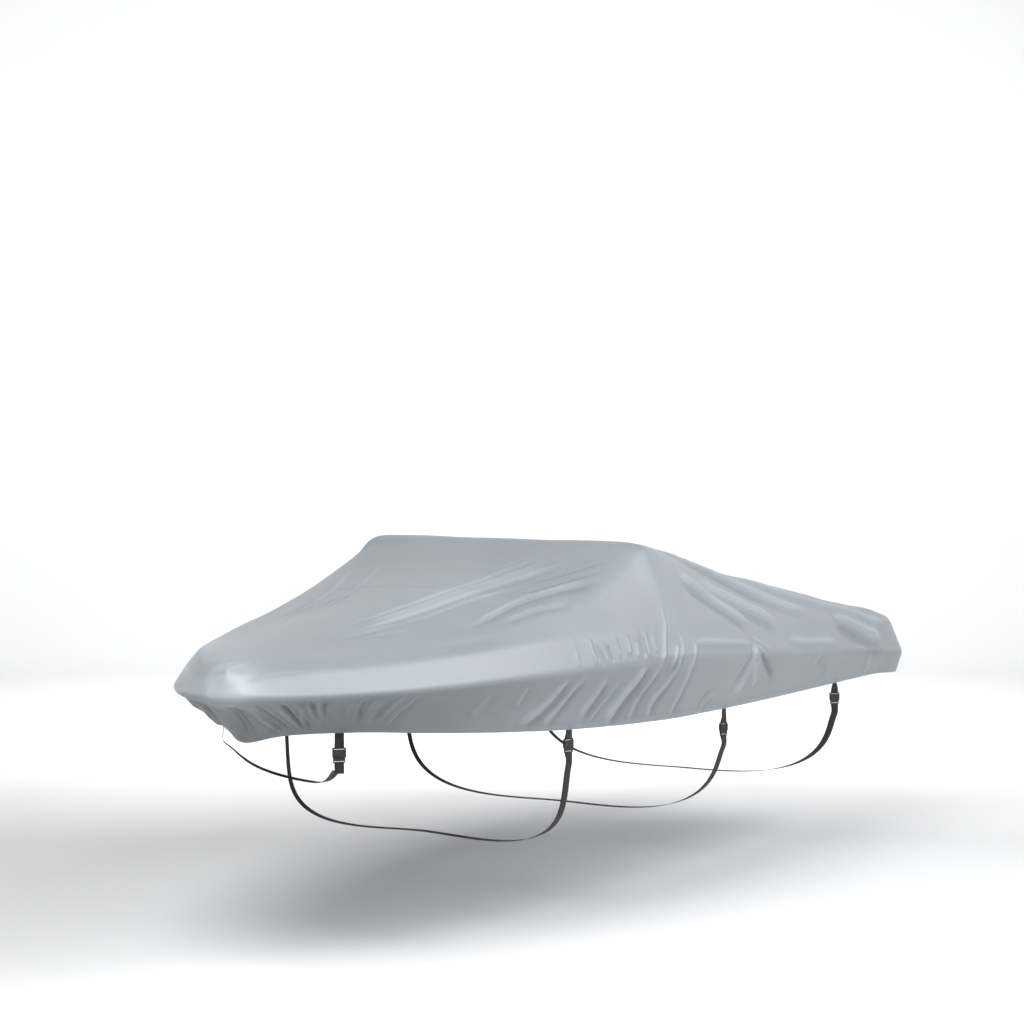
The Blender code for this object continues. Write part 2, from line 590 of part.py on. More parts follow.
def main():
    for item in list(bpy.data.objects):
        bpy.data.objects.remove(item)
    collection = bpy.data.collections.new(NAME)
    bpy.context.scene.collection.children.link(collection)
    frames = [hem_frame(strap.forward) for strap in STRAPS]
    cloth = cover_sheet(collection, frames)
    cloth.data.materials.append(plastic("cover polyester", (0.40, 0.45, 0.49), 0.6))
    meshes = {"socket": socket_mesh(), "plug": plug_mesh()}
    for kind, mesh in meshes.items():
        mesh.materials.append(plastic(f"buckle {kind}", (0.02, 0.02, 0.022), 0.45))
    webbing = plastic("strap webbing", (0.025, 0.025, 0.028), 0.85)
    for number, (strap, frame) in enumerate(zip(STRAPS, frames), start=1):
        for piece in strap_pieces(number, strap, frame, collection, meshes):
            piece.data.materials.append(webbing)


main()
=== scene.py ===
"""Looks of a fitted boat cover: two sewn cloth panels, hem, seam, straps and buckles.

Metres, +X towards the bow, +Y to port, +Z up. The origin is at the underside of the cloth's peak,
and every "drop" is a distance down from it.
"""

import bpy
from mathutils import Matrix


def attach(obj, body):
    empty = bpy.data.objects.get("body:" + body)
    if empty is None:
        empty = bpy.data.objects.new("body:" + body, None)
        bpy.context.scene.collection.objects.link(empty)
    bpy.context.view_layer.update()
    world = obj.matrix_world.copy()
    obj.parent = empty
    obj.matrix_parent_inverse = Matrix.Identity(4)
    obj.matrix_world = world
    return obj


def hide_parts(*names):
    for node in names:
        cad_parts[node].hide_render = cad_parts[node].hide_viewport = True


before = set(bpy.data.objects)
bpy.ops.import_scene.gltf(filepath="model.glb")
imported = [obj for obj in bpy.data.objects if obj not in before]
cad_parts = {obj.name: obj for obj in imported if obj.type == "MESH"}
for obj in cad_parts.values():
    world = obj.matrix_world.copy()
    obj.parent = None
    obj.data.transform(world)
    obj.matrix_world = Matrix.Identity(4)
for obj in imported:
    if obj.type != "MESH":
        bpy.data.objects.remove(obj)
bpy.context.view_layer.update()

import math
from collections import namedtuple

import bmesh
import bpy
import numpy as np
from bpy.props import FloatProperty, FloatVectorProperty, PointerProperty
from bpy.types import Operator, Panel, PropertyGroup
from mathutils import Matrix, Vector

bl_info = {
    "name": "Fitted boat cover",
    "version": (1, 0, 0),
    "blender": (4, 5, 0),
    "location": "3D View > Sidebar > Boat cover",
    "description": "Builds a fitted boat cover with its seams, straps and buckles",
    "category": "Add Mesh",
}

PORT, STARBOARD = 1, -1
CREST, SHOULDER, WAIST, RIM, HEM = range(5)   # girth: whole numbers lie on these lines
ARC_STEPS = 16                                # points along each rounded corner of a section
CROWN_SHARE = 0.45          # how far a rounded corner reaches along the faces beside it
WAIST_SHARE = 0.18
RIM_SHARES = (0.12, 0.08)
PEAK_HALF_WIDTH = 0.75
PEAK_FOOT = 0.4             # drop at which the peak's lean and tuck have died away
PEAK_LEAN = 0.012           # how much lower the peak is to port, and how far along it that reaches
PEAK_REACH = 0.9
PEAK_TUCK = 0.045           # how much narrower it is to starboard, and how far that reaches
TUCK_REACH = 0.45
GAP = 0.0003                # between pieces that touch
MIRROR = np.array([1.0, -1.0, 1.0])
DOWN = np.array([0.0, 0.0, -1.0])

# One row for each rib, from the middle of the stern round the port side to the stem. forward and drop
# have one number each for crest, shoulder, waist, rim and hem, or forward is the same for all five;
# port leaves out the crest, which lies on the centre plane.
Rib = namedtuple("Rib", "forward port drop rounding flare")
RIBS = [
    Rib((-2.7, -2.78, -2.88, -2.955, -2.945), (0.0, 0.0, 0.0, 0.0),
        (0.396, 0.406, 0.456, 0.676, 0.781), 0.45, 0.0),
    Rib((-2.69, -2.77, -2.875, -2.95, -2.94), (0.42, 0.45, 0.52, 0.51),
        (0.396, 0.409, 0.461, 0.676, 0.781), 0.45, 0.0),
    Rib((-2.64, -2.74, -2.865, -2.925, -2.91), (0.74, 0.87, 0.935, 0.905),
        (0.391, 0.406, 0.479, 0.677, 0.791), 0.45, 0.0),
    Rib((-2.45, -2.45, -2.5, -2.55, -2.55), (0.785, 0.93, 0.97, 0.93),
        (0.37, 0.376, 0.471, 0.651, 0.778), 0.4, 0.002),
    Rib(-2.0, (0.745, 0.93, 0.982, 0.935), (0.318, 0.308, 0.421, 0.616, 0.782), 0.4, 0.004),
    Rib(-1.4, (0.725, 0.94, 0.992, 0.935), (0.228, 0.213, 0.416, 0.581, 0.791), 0.36, 0.006),
    Rib(-0.8, (0.715, 0.95, 1.0, 0.93), (0.126, 0.113, 0.406, 0.544, 0.799), 0.3, 0.008),
    Rib(-0.35, (0.735, 0.95, 0.998, 0.92), (0.04, 0.032, 0.391, 0.522, 0.802), 0.24, 0.008),
    Rib(-0.1, (0.775, 0.945, 0.992, 0.91), (0.006, -0.002, 0.383, 0.514, 0.803), 0.16, 0.008),
    Rib(0.0, (0.785, 0.94, 0.985, 0.9), (-0.002, -0.005, 0.381, 0.512, 0.803), 0.14, 0.008),
    Rib(0.1, (0.76, 0.93, 0.972, 0.885), (0.03, 0.045, 0.385, 0.513, 0.802), 0.18, 0.008),
    Rib(0.3, (0.73, 0.9, 0.935, 0.845), (0.1, 0.125, 0.396, 0.519, 0.801), 0.28, 0.01),
    Rib(0.8, (0.645, 0.78, 0.825, 0.715), (0.222, 0.272, 0.411, 0.536, 0.788), 0.4, 0.014),
    Rib(1.25, (0.55, 0.63, 0.665, 0.52), (0.312, 0.356, 0.441, 0.559, 0.763), 0.42, 0.018),
    Rib(1.6, (0.395, 0.475, 0.515, 0.325), (0.378, 0.402, 0.468, 0.569, 0.739), 0.42, 0.022),
    Rib((1.8, 1.82, 1.85, 1.87, 1.78), (0.235, 0.305, 0.345, 0.13),
        (0.418, 0.431, 0.483, 0.573, 0.748), 0.42, 0.026),
    Rib((1.9, 1.94, 1.995, 2.028, 1.845), (0.1, 0.135, 0.17, 0.035),
        (0.436, 0.449, 0.493, 0.573, 0.772), 0.42, 0.026),
    Rib((1.93, 1.97, 2.025, 2.078, 1.865), (0.0, 0.0, 0.0, 0.0),
        (0.441, 0.453, 0.498, 0.573, 0.781), 0.42, 0.026),
]

# Folds of either side, one row each: its course as (along, girth) places, its half width at either
# end, its height (a trough's is negative), and the side of it that dips: 1 towards the stern and
# hem, -1 the other way, 0 neither. "along" is metres along the rim from the middle of the stern,
# and "girth" runs from 0 at the crest to 4 at the hem.
Fold = namedtuple("Fold", "side course widths height dip")
FOLDS = {
    PORT: [
        # fan from the peak's port corner towards the bow
        ([(3.93, 0.6), (4.11, 0.47), (4.47, 0.38), (4.86, 0.28), (5.27, 0.25)], (0.018, 0.013), 0.01, 1),
        ([(4.05, 0.66), (4.5, 0.46), (4.9, 0.38), (5.25, 0.33)], (0.08, 0.045), 0.012, 0),
        ([(4.05, 0.76), (4.5, 0.56), (4.9, 0.48), (5.36, 0.44)], (0.02, 0.014), 0.012, 1),
        ([(4.45, 0.64), (4.85, 0.55), (5.4, 0.5)], (0.01, 0.009), 0.006, 1),
        ([(4.3, 0.62), (4.7, 0.49), (5.1, 0.43)], (0.009, 0.008), -0.005, 0),
        ([(4.2, 0.56), (4.6, 0.43), (5.05, 0.36)], (0.011, 0.009), -0.005, 0),
        ([(4.3, 0.84), (4.6, 0.66), (5.16, 0.54), (5.42, 0.49)], (0.014, 0.01), 0.008, 1),
        ([(3.98, 0.52), (4.1, 0.42), (4.23, 0.36)], (0.012, 0.01), 0.006, 1),
        ([(3.89, 0.88), (4.05, 0.72), (4.23, 0.56)], (0.012, 0.01), -0.007, 0),
        ([(4.01, 0.97), (4.2, 0.87), (4.42, 0.74)], (0.012, 0.01), -0.008, 0),
        ([(4.1, 1.02), (4.32, 0.93), (4.55, 0.83)], (0.012, 0.01), -0.008, 0),
        ([(4.15, 1.05), (4.55, 0.92), (4.97, 0.98)], (0.024, 0.016), 0.012, 1),
        ([(4.4, 1.28), (4.63, 1.2), (4.86, 1.24)], (0.02, 0.014), 0.008, 1),
        ([(5.09, 0.75), (5.3, 0.63)], (0.012, 0.01), 0.006, 1),
        ([(4.9, 1.45), (5.25, 1.4)], (0.03, 0.02), 0.004, 1),
        # ruffles over the rim
        ([(4.57, 2.45), (4.57, 2.95)], (0.01, 0.012), 0.0072, 1),
        ([(4.47, 2.0), (4.47, 2.52), (4.46, 2.92)], (0.01, 0.014), 0.0108, 1),
        ([(4.41, 2.23), (4.4, 2.65), (4.38, 2.95)], (0.01, 0.013), 0.0096, -1),
        ([(4.36, 2.32), (4.36, 2.68), (4.35, 2.93)], (0.008, 0.01), -0.0084, 0),
        ([(4.31, 2.1), (4.3, 2.85)], (0.01, 0.013), 0.0072, 1),
        ([(4.23, 2.1), (4.23, 2.78)], (0.01, 0.014), 0.0096, 1),
        ([(4.17, 2.35), (4.18, 2.9)], (0.009, 0.011), 0.006, 0),
        ([(4.11, 2.0), (4.11, 2.53), (4.11, 2.95)], (0.01, 0.015), 0.012, -1),
        ([(3.88, 1.7), (3.92, 1.97), (3.98, 2.63), (4.01, 3.0), (4.07, 3.27)], (0.008, 0.015), 0.01, 1),
        ([(4.05, 2.2), (4.05, 2.85)], (0.009, 0.011), 0.0072, 0),
        ([(3.88, 2.6), (3.92, 3.02), (3.95, 3.27)], (0.01, 0.014), 0.012, 1),
        ([(3.83, 2.3), (3.84, 2.8), (3.91, 3.32)], (0.009, 0.012), 0.0072, 1),
        ([(3.72, 2.6), (3.76, 3.08), (3.81, 3.35)], (0.01, 0.013), 0.0084, 1),
        # skirt folds that run on down from them
        ([(3.75, 3.03), (3.77, 3.33), (3.81, 3.68), (3.87, 3.95)], (0.018, 0.02), 0.0154, 1),
        ([(3.89, 2.95), (3.89, 3.15), (3.93, 3.42), (4.0, 3.65), (4.04, 3.97)], (0.014, 0.024), 0.0168, 1),
        ([(4.0, 3.08), (4.06, 3.35), (4.12, 3.63), (4.16, 3.97)], (0.014, 0.02), 0.014, 1),
        ([(4.12, 3.02), (4.17, 3.33), (4.23, 3.58), (4.32, 3.97)], (0.02, 0.03), 0.021, 1),
        ([(4.26, 3.25), (4.4, 3.82), (4.44, 3.97)], (0.01, 0.016), 0.0098, 1),
        ([(4.37, 3.18), (4.41, 3.47), (4.47, 3.77), (4.5, 3.95)], (0.018, 0.026), 0.0168, 1),
        ([(4.52, 3.12), (4.57, 3.37), (4.63, 3.68), (4.69, 3.95)], (0.016, 0.022), 0.014, 1),
        ([(4.62, 3.1), (4.7, 3.58), (4.78, 3.83), (4.82, 3.95)], (0.018, 0.024), 0.0154, 1),
        ([(4.84, 3.18), (4.86, 3.6)], (0.012, 0.018), 0.0084, 1),
        ([(5.02, 3.25), (5.06, 3.75)], (0.02, 0.02), 0.0056, 1),
        ([(3.58, 3.98), (3.52, 3.8), (3.44, 3.68)], (0.014, 0.01), 0.0098, -1),
        ([(3.6, 3.9), (3.5, 3.62)], (0.01, 0.01), -0.007, 0),
        # folds from the peak's port corner to the stern, and one over the port quarter
        ([(3.66, 0.85), (3.14, 1.13), (2.73, 1.46), (2.43, 1.73), (2.15, 1.86)], (0.032, 0.04), 0.015, -1),
        ([(3.62, 1.36), (3.48, 1.5), (3.32, 1.68), (3.06, 2.02)], (0.034, 0.036), 0.026, -1),
        ([(3.4, 1.4), (3.13, 1.62), (2.9, 1.82), (2.72, 1.98)], (0.036, 0.042), 0.0195, -1),
        ([(2.75, 1.1), (2.24, 1.4), (1.81, 1.66), (1.3, 1.8)], (0.034, 0.044), 0.012, -1),
        ([(2.7, 0.95), (2.2, 1.1), (1.6, 1.22)], (0.032, 0.04), 0.008, -1),
        ([(2.02, 1.98), (1.73, 2.22), (1.43, 2.44), (1.22, 2.47)], (0.034, 0.05), 0.0221, -1),
        ([(1.6, 1.7), (1.35, 1.95), (1.15, 2.05)], (0.03, 0.035), 0.0104, -1),
        # pucker above the third strap
        ([(3.77, 2.62), (3.4, 2.66), (3.11, 2.74)], (0.022, 0.014), 0.01, -1),
        ([(3.1, 2.74), (3.14, 3.32), (3.22, 3.68), (3.33, 3.8)], (0.014, 0.03), 0.0175, -1),
        ([(3.1, 2.74), (3.02, 3.0), (2.95, 3.14)], (0.008, 0.01), 0.0075, 0),
        ([(3.14, 2.5), (3.02, 2.72), (2.92, 2.98)], (0.008, 0.01), 0.0063, 0),
        ([(3.06, 2.95), (2.92, 3.3), (2.78, 3.62)], (0.018, 0.024), -0.0137, 0),
        ([(3.1, 3.15), (3.02, 3.7)], (0.03, 0.034), 0.01, 0),
        ([(2.72, 2.66), (2.35, 2.7), (2.0, 2.74)], (0.025, 0.02), 0.0088, -1),
        ([(2.15, 2.92), (1.6, 2.94), (1.0, 2.94)], (0.014, 0.012), 0.0063, -1),
        ([(2.3, 3.2), (2.1, 3.6)], (0.045, 0.05), -0.0063, 0),
        ([(1.55, 3.1), (1.5, 3.85)], (0.035, 0.04), 0.0063, 0),
        # bow: what pushes the cloth up at the stem head, and the crease that runs back from it
        ([(6.21, 2.1), (6.16, 1.4), (6.05, 0.75)], (0.014, 0.01), 0.008, 1),
        ([(6.12, 2.35), (5.98, 2.05), (5.8, 1.98)], (0.022, 0.02), -0.006, 0),
    ],
    STARBOARD: [
        ([(4.2, 0.85), (4.6, 0.7), (5.2, 0.6)], (0.024, 0.018), 0.006, 1),
        ([(4.15, 0.62), (4.5, 0.52), (5.0, 0.42)], (0.018, 0.014), 0.005, 1),
        ([(4.3, 1.06), (4.6, 1.0), (5.05, 0.98)], (0.026, 0.02), 0.006, 1),
        ([(4.85, 0.52), (4.66, 0.44)], (0.012, 0.012), 0.005, -1),
        ([(3.7, 1.1), (3.35, 1.45), (3.0, 1.95)], (0.036, 0.04), 0.018, -1),
        ([(3.35, 1.2), (2.95, 1.45), (2.5, 1.72)], (0.036, 0.042), 0.014, -1),
        ([(2.95, 1.05), (2.5, 1.35), (2.05, 1.75)], (0.038, 0.044), 0.012, -1),
        ([(2.3, 1.0), (1.8, 1.2), (1.4, 1.3)], (0.03, 0.03), 0.007, -1),
        ([(2.0, 1.9), (1.6, 2.2), (1.25, 2.4)], (0.035, 0.045), 0.014, -1),
        ([(2.92, 2.62), (3.02, 3.2), (3.2, 3.8)], (0.016, 0.03), 0.012, -1),
        ([(2.9, 2.7), (2.7, 3.4)], (0.014, 0.024), -0.009, 0),
        ([(3.6, 2.66), (2.95, 2.7), (2.2, 2.72)], (0.022, 0.02), 0.006, -1),
        ([(2.15, 2.93), (1.1, 2.94)], (0.014, 0.012), 0.005, -1),
        ([(1.5, 3.1), (1.55, 3.8)], (0.04, 0.04), 0.005, 0),
    ],
}

# Where the cloth is pushed up or drawn down: place, radius and height
Bump = namedtuple("Bump", "side place radius height")
BUMPS = [
    Bump(PORT, (6.19, 2.20), 0.080, 0.032),
    Bump(STARBOARD, (5.72, 2.20), 0.18, 0.012),
    Bump(PORT, (3.82, 0.98), 0.15, -0.009),     # the peak's corners are drawn down
    Bump(STARBOARD, (3.90, 1.08), 0.17, -0.009),
]

# Gathers that a loop lays out: how many, the stretch of rim and of hem that they span, their girths,
# half widths, height and spread of the unevenness
Gather = namedtuple("Gather", "side count rim hem girths widths height uneven")
GATHERS = [
    Gather(PORT, 15, (6.20, 5.76), (5.90, 5.62), (3.08, 3.96), (0.0105, 0.0085), 0.0135, 0.30),
    Gather(PORT, 6, (5.72, 5.38), (5.60, 5.40), (3.10, 3.90), (0.013, 0.011), 0.0095, 0.35),
    Gather(PORT, 5, (6.26, 6.19), (6.24, 6.02), (3.12, 3.95), (0.009, 0.008), 0.0090, 0.25),
    Gather(STARBOARD, 13, (6.18, 5.74), (5.88, 5.60), (3.12, 3.93), (0.0115, 0.009), 0.0115, 0.35),
    Gather(STARBOARD, 6, (5.70, 5.30), (5.58, 5.34), (3.10, 3.90), (0.013, 0.011), 0.0095, 0.35),
    Gather(STARBOARD, 9, (4.60, 3.72), (4.60, 3.76), (2.05, 2.92), (0.010, 0.014), 0.0085, 0.40),
    Gather(STARBOARD, 9, (4.56, 3.66), (4.78, 3.84), (3.06, 3.96), (0.018, 0.024), 0.0115, 0.30),
]
GATHER_SEED = 7
GATHER_SPREAD = 0.3         # greatest share of a gather's depth by which a fold ends short of it
GATHER_BEND = 0.42          # how far a gathered fold has gone towards its foot, halfway down

# Grid of the cloth: how many columns each stretch of the rim gets up to its end, and how many rows
# each band of the girth gets
Stretch = namedtuple("Stretch", "end columns")
SEAM_PLACE = 4.56           # along the rim, where the two panels are sewn to each other
AFT_STRETCHES = [Stretch(1.10, 36), Stretch(2.00, 46), Stretch(3.60, 118), Stretch(SEAM_PLACE, 145)]
FORE_STRETCHES = [Stretch(5.30, 84), Stretch(5.60, 30), Stretch(6.28, 122)]
AFT_BANDS = (68, 22, 20, 26)
FORE_BANDS = (110, 28, 22, 34)
FOLD_STEP = 0.012           # between the points that a fold is measured from
FOLD_REACH = 3.2            # half widths past which a fold has no effect
FOLD_CRISP = 1.8            # how steeply a fold falls away from its crest
FOLD_CREST = 0.35           # half widths over which the crest itself is round
FOLD_FADE = 0.22            # share of a fold's length in which it rises or dies away
DIP_SHARE = 0.5             # depth of the dip beside a ridge, as a share of the ridge
DIP_PLACE = 1.7             # half widths from the ridge to its dip
CENTRE_CALM = 0.04          # folds die away this near to the centre plane
SLACK_WAVES = 7
SLACK_LENGTHS = (0.30, 0.95)
SLACK_HEIGHT = 0.0022
SLACK_SEED = 11
SLACK_FADE = 0.5            # girth above the hem in which the slack dies away
CAMBER_START = 4.65         # along the rim: from here forward the top has a plain camber
CAMBER_EASE = 0.55
CAMBER_SHOULDER = 0.77      # where the shoulder lies on the camber, from crest to waist
CAMBER_WAIST_SHARE = 0.16
WAIST_INSET = 0.028         # how far the waist draws in there, so that the band above the rim slopes
INSET_FADE = 0.4            # along the rim from the stem, where the waist comes out again
STEM_REACH = 0.25           # along the rim from the stem, where its edge below the rim turns round
STEM_PULL = 0.12            # and where its end is pulled to the centre plane
STEM_BAND = (0.04, 0.35)    # below the rim: where that rounding begins, and the girth it grows over
HEM_BAND = 0.10             # girth of the turned hem
HEM_PUFF = 0.0008           # how far the turned hem stands out

# Straps, one row each from the bow. forward: where it hangs; tab: hem to the socket's bar; bend and
# middle: where the long webbing turns, (port, drop) and drop; rake: how far aft of the hem its middle
# lies; twist: turn of the buckle's face towards the bow, about the vertical.
Strap = namedtuple("Strap", "forward tab bend middle rake twist")
STRAPS = [
    Strap(1.630, 0.060, (0.225, 0.900), 0.985, 0.25, 0.0),
    Strap(0.630, 0.040, (0.715, 1.165), 1.290, 0.0, 0.0),
    Strap(-0.570, 0.070, (0.865, 1.115), 1.310, 0.0, 0.22),
    Strap(-1.930, 0.055, (0.885, 1.070), 1.300, 0.0, 0.80),
]
STRAP_MARGINS = (1.1, 0.2)  # stretches of rim at the stern and the stem that no strap hangs from
STRAP_TRIES = 800           # places along the rest that are tried for a strap
STRAP_BAY = 0.025           # half the plain stretch of hem at a strap
STRAP_BAND = 0.12           # girth of hem that a strap's end is set against
STRAP_CALM = 0.09           # folds die away this near to a strap, to nothing at this share of it
STRAP_FLAT = 0.4
STRAP_BEND_SHARE = 0.35     # how much of a strap's rake its bend has
TAB_TURN = (0.022, 0.012)   # above the socket's bar: where the tab turns to the buckle's face
PLUG_TURN = (0.015, 0.040)  # below the plug's bar
END_TURN = (0.020, 0.060)   # below the starboard end
HEM_TURN = [(0.0015, 0.3), (0.0015, 0.7), (0.0, 1.0)]   # below the hem, and shares of its thickness

# Looks of the cloth
MAP_NAME = "cloth_map"
FOLD_TONE = 0.010           # relief at which the painted highlight on a ridge and the painted shade in a dip are full
RIDGE_HIGHLIGHT = 1.23           # a ridge is painted paler as a painted highlight, a dip darker as painted shade
DIP_SHADE = 0.80
BOW_SPAN = (4.3, 5.7)       # along the rim, where the painted shade on the skirt and the painted highlight on the band change towards the bow
STERN_SKIRT_SHADE = 0.09     # painted shade: how much darker the skirt is painted than the top, here at the stern, on the next line at the bow
BOW_SKIRT_SHADE = 0.40
BAND_HIGHLIGHT = 0.17          # painted highlight: how much paler the band above the rim is painted at the bow
HEM_SHADE = 0.14            # how much duller the cloth is along its lines of stitches
SEAM_SHADE = 0.035
RIB_PITCH = 0.0021          # lengthwise ribs and slanting twill of the webbing
TWILL_PITCH = 0.0016
PLY_PITCH = 0.0007          # twist of the sewing thread

# Stitches
SEAM_ROWS = (0.010, 0.004)  # behind the edge of the lapped seam
SEAM_POINTS = 260
HEM_STEP = 0.012            # between the points that the hem's stitches follow
BOX_ROWS = (0.003, 0.019)   # above the hem, where a strap is sewn down
BOX_MARGIN = 0.003          # from the webbing's edges

# Webbing
SEWN_LENGTH = 0.022         # inside the hem
FOLDED_BACK = 0.020         # sewn back on itself behind a buckle bar
LOOP_SLACK = 0.0005         # between a bar and the webbing round it
HEM_EXIT = (0.001, 0.008)   # last point inside the hem, above it, and the first one below it
ROUTE_STEP = 0.05           # between the long webbing's control points
WOVEN_EDGE = 50             # degrees past which an edge looks sharp
MOULDED_EDGE = 38
WEBBING_OUTLINE = [(-0.97, 1.0), (-0.5, 0.96), (0.0, 1.0), (0.5, 0.96), (0.97, 1.0), (1.0, 0.4),
                   (1.0, -0.4), (0.97, -1.0), (0.5, -0.96), (0.0, -1.0), (-0.5, -0.96), (-0.97, -1.0),
                   (-1.0, -0.4), (-1.0, 0.4)]   # section, in half widths and half thicknesses

# Buckle, in its own frame: across the webbing, down from the socket's bar, and out from the cover
BUCKLE_HALF_WIDTH = 0.027
BUCKLE_HALF_DEPTH = 0.0065
BAR_HALF = 0.0015
BAR_LENGTH_HALF = 0.021
EAR_HALF_DEPTH = 0.003
SLOT_END = 0.0066           # far side of a webbing slot from its bar
MOUTH = 0.038               # the socket's open end
CAVITY_START = 0.013
CAVITY_HALF = (0.022, 0.004)
WINDOW = (0.018, 0.028)
WINDOW_HALF_DEPTH = 0.0034
DISH = (0.0150, 0.0145, 0.0320)     # dished panel: half width, start and end
DISH_DEPTH = 0.0009
PLUG_HALF_WIDTH = 0.024
PLUG_HALF_DEPTH = 0.005
PLUG_BAR = 0.058            # the plug's bar from the socket's bar
ARM_HALF_DEPTH = 0.003
PRONG = [(0.0264, 0.0250), (0.0258, 0.0232), (0.0240, 0.0212), (0.0216, 0.0186), (0.0203, 0.0164),
         (0.0190, 0.0154), (0.0170, 0.0148), (0.0150, 0.0150), (0.0136, 0.0162), (0.0130, 0.0190)]
TONGUE = (0.004, 0.016)     # half width, and where its tip lies
EDGE_ROUNDING = 0.0015
SLOT_ROUNDING = 0.0008
EDGE_SOFTNESS = 0.00035     # of every other edge that turns by more than so many degrees
SOFTENED_EDGE = 35
PAST = 0.002                # how far a cut reaches past the face that it opens
PLUG_RIBS = (0.0425, 0.0448)    # grip ribs across the plug's neck, between mouth and slot

# Stage
CAMERA_PLACE = (7.629, 4.785, 0.129)
CAMERA_TURN = 121.6
LIT_PLACE = (-0.3, 0.0, -0.4)   # what the lamps are aimed at
LAMP_DISTANCE = 8.0
WALL_LAMP = {"size": 6.0, "distance": 8.5}
WALL_PLACE = (-14.0, -8.6, 0.8)     # where the light on the wall is aimed
FAR_WALL_PLACE = (14.0, 8.6, 0.8)
FAR_WALL_SHARE = 0.3
WALL_CURVE = 4.0            # radius of the studio's turn from floor to wall
WALL_TOP = 13.0
WALL_SIDES = 96


def spline(knots, points, at):
    """Cubic through the points, read at the given distances along the knots."""
    spans = np.diff(knots)
    slopes = np.diff(points, axis=0) / spans[:, None]
    tangents = np.zeros_like(points)
    tangents[0] = slopes[0]
    tangents[-1] = slopes[-1]
    before, after = spans[:-1, None], spans[1:, None]
    tangents[1:-1] = (slopes[:-1] * after + slopes[1:] * before) / (before + after)
    k = np.clip(np.searchsorted(knots, at, side="right") - 1, 0, len(knots) - 2)
    span = spans[k][:, None]
    s = ((at - knots[k]) / spans[k])[:, None]
    return ((2 * s**3 - 3 * s**2 + 1) * points[k] + (s**3 - 2 * s**2 + s) * span * tangents[k]
            + (3 * s**2 - 2 * s**3) * points[k + 1] + (s**3 - s**2) * span * tangents[k + 1])


def mirrored(points, side):
    """Points of the port half as they lie on this side."""
    return points * np.array([1.0, side, 1.0])


def unit(vectors):
    return vectors / np.maximum(np.linalg.norm(vectors, axis=-1, keepdims=True), 1e-9)


def smooth_step(values):
    values = np.clip(values, 0.0, 1.0)
    return values * values * (3 - 2 * values)


def run_lengths(points):
    """Distance along a row of points from its first one."""
    return np.concatenate([[0.0], np.cumsum(np.linalg.norm(np.diff(points, axis=0), axis=1))])


def guide_lines():
    """The crest, shoulder, waist, rim and hem through all ribs, and the rim's length up to each rib."""
    lines = np.zeros((len(RIBS), HEM + 1, 3))
    for line, rib in zip(lines, RIBS):
        line[:, 0] = rib.forward
        line[SHOULDER:, 1] = rib.port
        line[:, 2] = rib.drop
    lines = lines * np.array([1.0, 1.0, -1.0])
    return lines, run_lengths(lines[:, RIM])


LINES, KNOTS = guide_lines()
RIM_LENGTH = KNOTS[-1]


def rounded(before, corner, after, reach_in, reach_out):
    """Arc that rounds one corner of every section, as ARC_STEPS + 1 rows of points."""
    start = corner + unit(before - corner) * reach_in[:, None]
    end = corner + unit(after - corner) * reach_out[:, None]
    s = np.linspace(0.0, 1.0, ARC_STEPS + 1)[:, None, None]
    return (1 - s)**2 * start + 2 * s * (1 - s) * corner + s**2 * end


def outward(along):
    """Level unit vector that points out of the cover at each place along the rim."""
    step = 0.01
    ahead = spline(KNOTS, LINES[:, RIM], np.minimum(along + step, RIM_LENGTH))
    behind = spline(KNOTS, LINES[:, RIM], np.maximum(along - step, 0.0))
    course = ahead - behind
    return unit(np.stack([-course[:, 1], course[:, 0], np.zeros(len(along))], axis=1))


def sections(along, side):
    """Half sections of the cover, crest to hem, and the row where each band begins."""
    crest, shoulder, waist, rim, hem = [spline(KNOTS, line, along) for line in LINES.swapaxes(0, 1)]
    shares = np.array([(rib.rounding, rib.flare) for rib in RIBS])
    rounding, flare = spline(KNOTS, shares, along).T
    fore = smooth_step((along - CAMBER_START) / CAMBER_EASE)[:, None]
    left = smooth_step((RIM_LENGTH - along) / INSET_FADE)[:, None]
    waist = waist - outward(along) * WAIST_INSET * fore * left
    eased = crest + (waist - crest) * np.array([1.0, 1.0, CAMBER_SHOULDER]) * CAMBER_SHOULDER
    opposite, shoulder = shoulder, shoulder * (1 - fore) + eased * fore
    if side == STARBOARD:
        opposite, shoulder = shoulder, opposite
    facing, flank, high, band, skirt = [np.linalg.norm(end - start, axis=1) for start, end in (
        (crest, opposite), (crest, shoulder), (shoulder, waist), (waist, rim), (rim, hem))]
    tight = WAIST_SHARE + (CAMBER_WAIST_SHARE - WAIST_SHARE) * fore[:, 0]
    half, whole = ARC_STEPS // 2, ARC_STEPS + 1
    crown = rounded(opposite * MIRROR, crest, shoulder, CROWN_SHARE * facing, CROWN_SHARE * flank)
    arcs = [crown[half:],
            rounded(crest, shoulder, waist, rounding * flank, rounding * high),
            rounded(shoulder, waist, rim, tight * high, tight * band),
            rounded(waist, rim, hem, RIM_SHARES[0] * band, RIM_SHARES[1] * skirt)]
    s = np.linspace(0.0, 1.0, whole)[1:, None, None]
    top = arcs[-1][-1]
    hollow = outward(along) * flare[:, None]
    arcs.append(top + (hem - top) * s - hollow * 4 * s * (1 - s))
    return np.concatenate(arcs), [0, whole, 2 * whole, 3 * whole, 3 * whole + half + ARC_STEPS]


